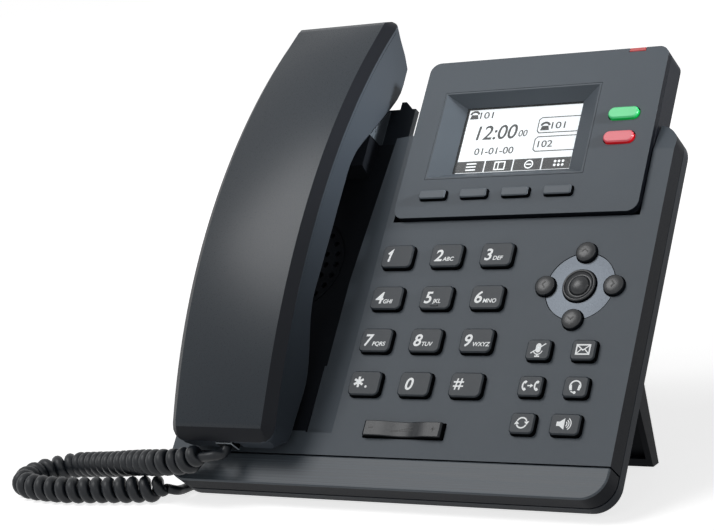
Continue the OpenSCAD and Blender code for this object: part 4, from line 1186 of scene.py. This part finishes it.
@dataclass
class DisplayModule:
    """Bezel, sunk frame, lit screen with generic numbers and signs, and the message lamp."""

    middle: Point = (26.0, 151.2)
    size: Point = (51.4, 30.4)
    border: tuple[float, float, float, float] = (0.6, 0.3, 0.3, 0.3)
    film: float = 0.015
    capital: float = 3.1
    edge: float = 0.5
    lamp_edge: float = 0.2

    def layer(self, films: int) -> Artwork:
        """Return an empty layer of the screen, so many films above its glass."""
        left = self.middle[0] - self.size[0] / 2 + self.border[0]
        bottom = self.middle[1] - self.size[1] / 2 + self.border[1]
        height = PANEL.box("lcd_panel")[1].z + films * self.film
        return Artwork((left, bottom, height), thickness=self.film)

    @staticmethod
    def icon(art: Artwork, x: float, y: float, h: float) -> None:
        """Draw a small telephone sign."""
        art.fill([(x, y), (x + h, y), (x + 0.86 * h, y + 0.52 * h), (x + 0.14 * h, y + 0.52 * h)])
        art.arc(x + h / 2, y + 0.38 * h, 0.52 * h, 22, 158, 0.24 * h, steps=10)

    @staticmethod
    def tab(art: Artwork, y: float, top: float) -> None:
        """Draw the open frame of one line key's number."""
        left, right, cut = 32.6, 50.4, 1.0
        foot = [(right, y), (left + cut, y), (left, y + cut)]
        art.stroke(foot + [(left, top - cut), (left + cut, top), (right, top)], 0.42)

    def figures(self, art: Artwork, wide: float) -> None:
        """Draw the time, the date and the line numbers in plain digits, over four dark fields."""
        quarter = wide / 4
        for k in range(4):
            x, end = k * quarter + (0.3 if k else 0.0), (k + 1) * quarter - 0.3
            art.fill([(x, 0.5), (end, 0.5), (end, 5.7), (x, 5.7)])
        for x, y in ((0.7, 25.5), (33.8, 18.4)):
            self.icon(art, x, y, 3.9)
        for y, top in ((17.3, 24.3), (8.9, 15.5)):
            self.tab(art, y, top)
        for words, x, y, height, shear, bold, fit in (
            ("101", 5.2, 25.6, self.capital, 0.0, 0.04, 6.0),
            ("12:00", 5.7, 15.6, 6.7, 0.1, 0.1, 18.1),
            ("00", 24.6, 16.2, self.capital, 0.1, 0.05, 3.9),
            ("01-01-00", 6.5, 8.6, 3.2, 0.0, 0.05, 17.5),
            ("101", 38.5, 19.0, self.capital, 0.0, 0.04, 6.0),
            ("102", 34.2, 10.7, self.capital, 0.0, 0.04, 6.4),
        ):
            art.text(words, x, y, height, shear, bold, fit)

    @staticmethod
    def signs(art: Artwork) -> None:
        """Draw the four light signs: a list, a page, a bar in a ring and dots."""
        for j in range(3):
            art.stroke([(4.4, 1.7 + 1.4 * j), (8.8, 1.7 + 1.4 * j)], 0.55)
        art.stroke([(17.2, 1.4), (21.6, 1.4), (21.6, 4.8), (17.2, 4.8), (17.2, 1.4)], 0.5)
        art.stroke([(18.8, 1.4), (18.8, 4.8)], 0.45)
        art.arc(32.3, 3.1, 1.7, 0, 360, 0.5, steps=20)
        art.stroke([(31.2, 3.1), (33.4, 3.1)], 0.55)
        for i in range(3):
            for j in range(2):
                art.disc(43.6 + 1.7 * i, 2.25 + 1.7 * j, 0.58, steps=8)

    def screen(self) -> None:
        """Lay the screen's light, its figures and its signs one over another."""
        wide = self.size[0] - self.border[0] - self.border[2]
        tall = self.size[1] - self.border[1] - self.border[3]
        art = self.layer(0)
        art.fill([(0, 0), (wide, 0), (wide, tall), (0, tall)])
        art.piece("screen_backlight", BACKLIGHT, "base")
        art = self.layer(2)
        self.figures(art, wide)
        art.piece("screen_figures", PIXEL, "base")
        art = self.layer(4)
        self.signs(art)
        art.piece("screen_signs", SCREEN_WHITE, "base")

    def build(self) -> None:
        """Dress the module and draw its screen."""
        # The bezel's sides get painted shade, a dark copy of the front's grey.
        softened("display_bezel", FACE, self.edge, sides(HOUSING_SIDE_SHADE))
        softened("display_housing", CASE, self.edge)
        dress(SCREEN_FRAME, "lcd_frame")
        dress(WINDOW, "lcd_lens")
        dress(BLACK_INK, "lcd_panel")
        softened("message_lamp", LAMP, self.lamp_edge)
        self.screen()


@dataclass
class Handset:
    """Bowed and crowned cover, inner moulding and what shows in it."""

    middle: float = -62.2
    half: float = 25.9
    bevel: float = 4.0
    crown: float = 1.1
    lift: float = 0.5
    fade: float = 12.0  # length over which the crown dies out towards each end
    cuts: int = 6
    cover_edge: float = 0.6
    grip_edge: float = 0.8
    front: float = 0.82  # a face's share of "out" from here on is the cover's front
    bevels: Point = (0.2, 0.86)
    gap_side: float = 0.3

    def crowned(self, work: Work) -> None:
        """Curve the cover's flat front across its width, highest along the middle."""
        to_panel = PANEL.matrix().inverted()
        reach = self.half - self.bevel
        steps = range(-self.cuts, self.cuts + 1)
        cuts = [self.middle + reach * k / (self.cuts + 1) for k in steps]
        sliced(work, Vector((1, 0, 0)), cuts)
        work.normal_update()
        out = PANEL.out()
        front = {v for face in work.faces if face.normal.dot(out) > self.front for v in face.verts}
        ends = [(to_panel @ v.co).y for v in front]
        low, high = min(ends), max(ends)
        for vert in front:
            place = to_panel @ vert.co
            across = min(1.0, abs(place.x - self.middle) / reach)
            along = min(1.0, (place.y - low) / self.fade, (high - place.y) / self.fade)
            vert.co += out * MM * along * (self.lift - self.crown * across * across)

    def on_bevel(self, place: Vector, way: Vector) -> bool:
        """Tell whether a face of the cover slopes between its front and its sides."""
        return self.bevels[0] < way.z < self.bevels[1]

    def in_gap(self, place: Vector, way: Vector) -> bool:
        """Tell whether a face of the grip shows only in the gap below the cover, where it gets
        painted shadow.
        """
        return way.z > self.gap_side

    def build(self) -> None:
        """Dress the handset's shells and capsules."""
        # The cover's bevels get painted shade.
        softened(
            "handset_cover",
            HANDSET,
            self.cover_edge,
            sides(GRIP),
            (HANDSET_BEVEL_SHADE, self.on_bevel),
            segments=3,
            shape=self.crowned,
        )
        softened("handset_grip", GRIP, self.grip_edge, (SHADOW_GAP, self.in_gap))
        dress(SOCKET, "receiver_capsule", "microphone_capsule", "handset_socket")


class Pattern:
    """A Geometry Nodes tree with named inputs, grown on points and turned into one plain mesh."""

    def __init__(self, name: str, lengths: Sequence[str], counts: Sequence[str] = ()) -> None:
        """Make a tree with its inputs and nothing in it.

        Args:
            name: the tree's name.
            lengths: names of the inputs that are lengths or angles.
            counts: names of the inputs that are whole numbers.
        """
        self.tree = bpy.data.node_groups.new(name, "GeometryNodeTree")
        kinds = {"Places": "Geometry", "Lean": "Vector", "Finish": "Material"}
        kinds |= dict.fromkeys(lengths, "Float") | dict.fromkeys(counts, "Int")
        face = self.tree.interface
        self.sockets = {}
        for key, kind in kinds.items():
            socket = face.new_socket(key, in_out="INPUT", socket_type="NodeSocket" + kind)
            self.sockets[key] = socket.identifier
        face.new_socket("Geometry", in_out="OUTPUT", socket_type="NodeSocketGeometry")
        self.given = add_node(self.tree, "NodeGroupInput", {}, {}).outputs

    def add(self, kind: str, settings: dict, links: dict) -> Socket:
        """Add one node and return its first output."""
        return add_node(self.tree, kind, settings, links).outputs[0]

    def fed(self, kind: str, settings: dict, *values: object) -> Socket:
        """Add one node whose inputs are, in their order, numbers or sockets."""
        numbers = {k: v for k, v in enumerate(values) if isinstance(v, (int, float))}
        links = {k: v for k, v in enumerate(values) if k not in numbers}
        return self.add(kind, {**settings, **numbers}, links)

    def vector(self, x: object = 0.0, y: object = 0.0, z: object = 0.0) -> Socket:
        """Join three numbers or sockets into a vector."""
        return self.fed("ShaderNodeCombineXYZ", {}, x, y, z)

    def sum(self, operation: str, a: object, b: object) -> Socket:
        """Do one sum on two numbers or sockets."""
        return self.fed("ShaderNodeMath", {"operation": operation}, a, b)

    def moved(self, shape: Socket, how: str, vector: Socket) -> Socket:
        """Give a shape a Translation or a Rotation."""
        return self.add("GeometryNodeTransform", {}, {"Geometry": shape, how: vector})

    def finish(self, shape: Socket) -> None:
        """End the tree: the shape at every place, leaned, made real and given its finish."""
        links = {"Points": self.given["Places"], "Instance": shape, "Rotation": self.given["Lean"]}
        copies = self.add("GeometryNodeInstanceOnPoints", {}, links)
        real = self.add("GeometryNodeRealizeInstances", {}, {0: copies})
        links = {"Geometry": real, "Material": self.given["Finish"]}
        done = self.add("GeometryNodeSetMaterial", {}, links)
        add_node(self.tree, "NodeGroupOutput", {}, {0: done})

    def grow(
        self, name: str, places: Sequence[Triple], values: dict, finish: Finish, slot: str
    ) -> None:
        """Grow the tree at places on the panel, as one plain mesh that rides on the base.

        Args:
            name: the piece's name.
            places: where the shape stands, in the panel's millimetres.
            values: the tree's inputs by name.
            finish: the finish of the shape.
            slot: not used.
        """
        matrix = PANEL.matrix()
        thing = mesh_object(name, [matrix @ Vector(place) for place in places], [], [])
        modifier = thing.modifiers.new("pattern", "NODES")
        modifier.node_group = self.tree
        values = {**values, "Lean": (PANEL.tilt, 0.0, 0.0), "Finish": finish.material()}
        for key, value in values.items():
            modifier[self.sockets[key]] = value
        baked(thing)
        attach(thing, "base")


@dataclass
class Screws:
    """Cross-recessed pan-head screws that hold the rear tray."""

    radius: float = 2.5
    height: float = 1.7
    taper: float = 0.78
    slot_width: float = 0.8
    slot_length: float = 3.0
    slot_depth: float = 0.9
    seat: float = -12.5
    across: float = 84.1
    rows: Point = (14.0, 106.0)

    def build(self) -> None:
        """Grow the heads on the tray's back, looking out of it."""
        sizes = {
            "Radius": self.radius * MM,
            "Height": self.height * MM,
            "Slot Width": self.slot_width * MM,
            "Slot Length": self.slot_length * MM,
            "Slot Depth": self.slot_depth * MM,
        }
        pattern = Pattern("screw_heads", list(sizes))
        given = pattern.given
        foot = pattern.vector(z=pattern.sum("MULTIPLY", given["Height"], -1.0))
        links = {
            "Radius Top": given["Radius"],
            "Radius Bottom": pattern.sum("MULTIPLY", given["Radius"], self.taper),
            "Depth": given["Height"],
        }
        head = pattern.add("GeometryNodeMeshCone", {"Vertices": 28}, links)
        links = {"Mesh 1": pattern.moved(head, "Translation", foot)}
        settings = {"operation": "DIFFERENCE"}
        cross = add_node(pattern.tree, "GeometryNodeMeshBoolean", settings, links)
        depth = pattern.sum("MULTIPLY", given["Slot Depth"], 2.0)
        for wide, long in (("Slot Width", "Slot Length"), ("Slot Length", "Slot Width")):
            size = pattern.vector(given[wide], given[long], depth)
            bar = pattern.add("GeometryNodeMeshCube", {}, {"Size": size})
            bar = pattern.moved(bar, "Translation", foot)
            pattern.tree.links.new(bar, cross.inputs["Mesh 2"])
        pattern.finish(cross.outputs["Mesh"])
        places = [(side * self.across, row, self.seat) for side in (-1, 1) for row in self.rows]
        pattern.grow("rear_screws", places, sizes, STEEL, "rear_shell")


@dataclass
class Contacts:
    """Sprung gold wires in the modular sockets."""

    pitch: float = 1.02
    wire: float = 0.42
    length: float = 6.5
    slope: float = math.radians(17)
    depth: float = 53.5
    pitch_of_sockets: float = 18.4
    middle: float = -21.0
    drop: float = 2.0

    def build(self) -> None:
        """Grow eight wires in each network socket and four in the headset's."""
        sizes = {"Pitch": self.pitch * MM, "Wire": self.wire * MM, "Length": self.length * MM}
        sizes["Slope"] = self.slope
        pattern = Pattern("sprung_contacts", list(sizes), counts=["Count"])
        given = pattern.given
        size = pattern.vector(given["Wire"], given["Length"], given["Wire"])
        wire = pattern.add("GeometryNodeMeshCube", {}, {"Size": size})
        wire = pattern.moved(wire, "Rotation", pattern.vector(given["Slope"]))
        gaps = pattern.sum("SUBTRACT", given["Count"], 1.0)
        span = pattern.sum("MULTIPLY", gaps, given["Pitch"])
        links = {
            "Count": given["Count"],
            "Start Location": pattern.vector(pattern.sum("MULTIPLY", span, -0.5)),
            "Offset": pattern.vector(given["Pitch"]),
        }
        row = pattern.add("GeometryNodeMeshLine", {"mode": "OFFSET"}, links)
        comb = {"Points": row, "Instance": wire}
        pattern.finish(pattern.add("GeometryNodeInstanceOnPoints", {}, comb))
        for name, slot, count, columns, drop in (
            ("network_contacts", "network_sockets", 8, (0, 1), self.drop),
            ("headset_contacts", "cord_sockets", 4, (-1,), self.drop * 0.5),
        ):
            places = [(i * self.pitch_of_sockets, self.depth, self.middle - drop) for i in columns]
            pattern.grow(name, places, {**sizes, "Count": count}, GOLD, slot)


def main() -> None:
    """Build the sub-assemblies in order."""
    logging.basicConfig(level=logging.INFO)
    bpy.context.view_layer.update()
    fixed = (Studio, CurlyCord, Housing)
    for kind in (*fixed, Keypad, NavigationCluster, DisplayModule, Handset, Screws, Contacts):
        kind().build()
        LOG.info("%s built", kind.__name__)


if __name__ == "__main__":
    main()
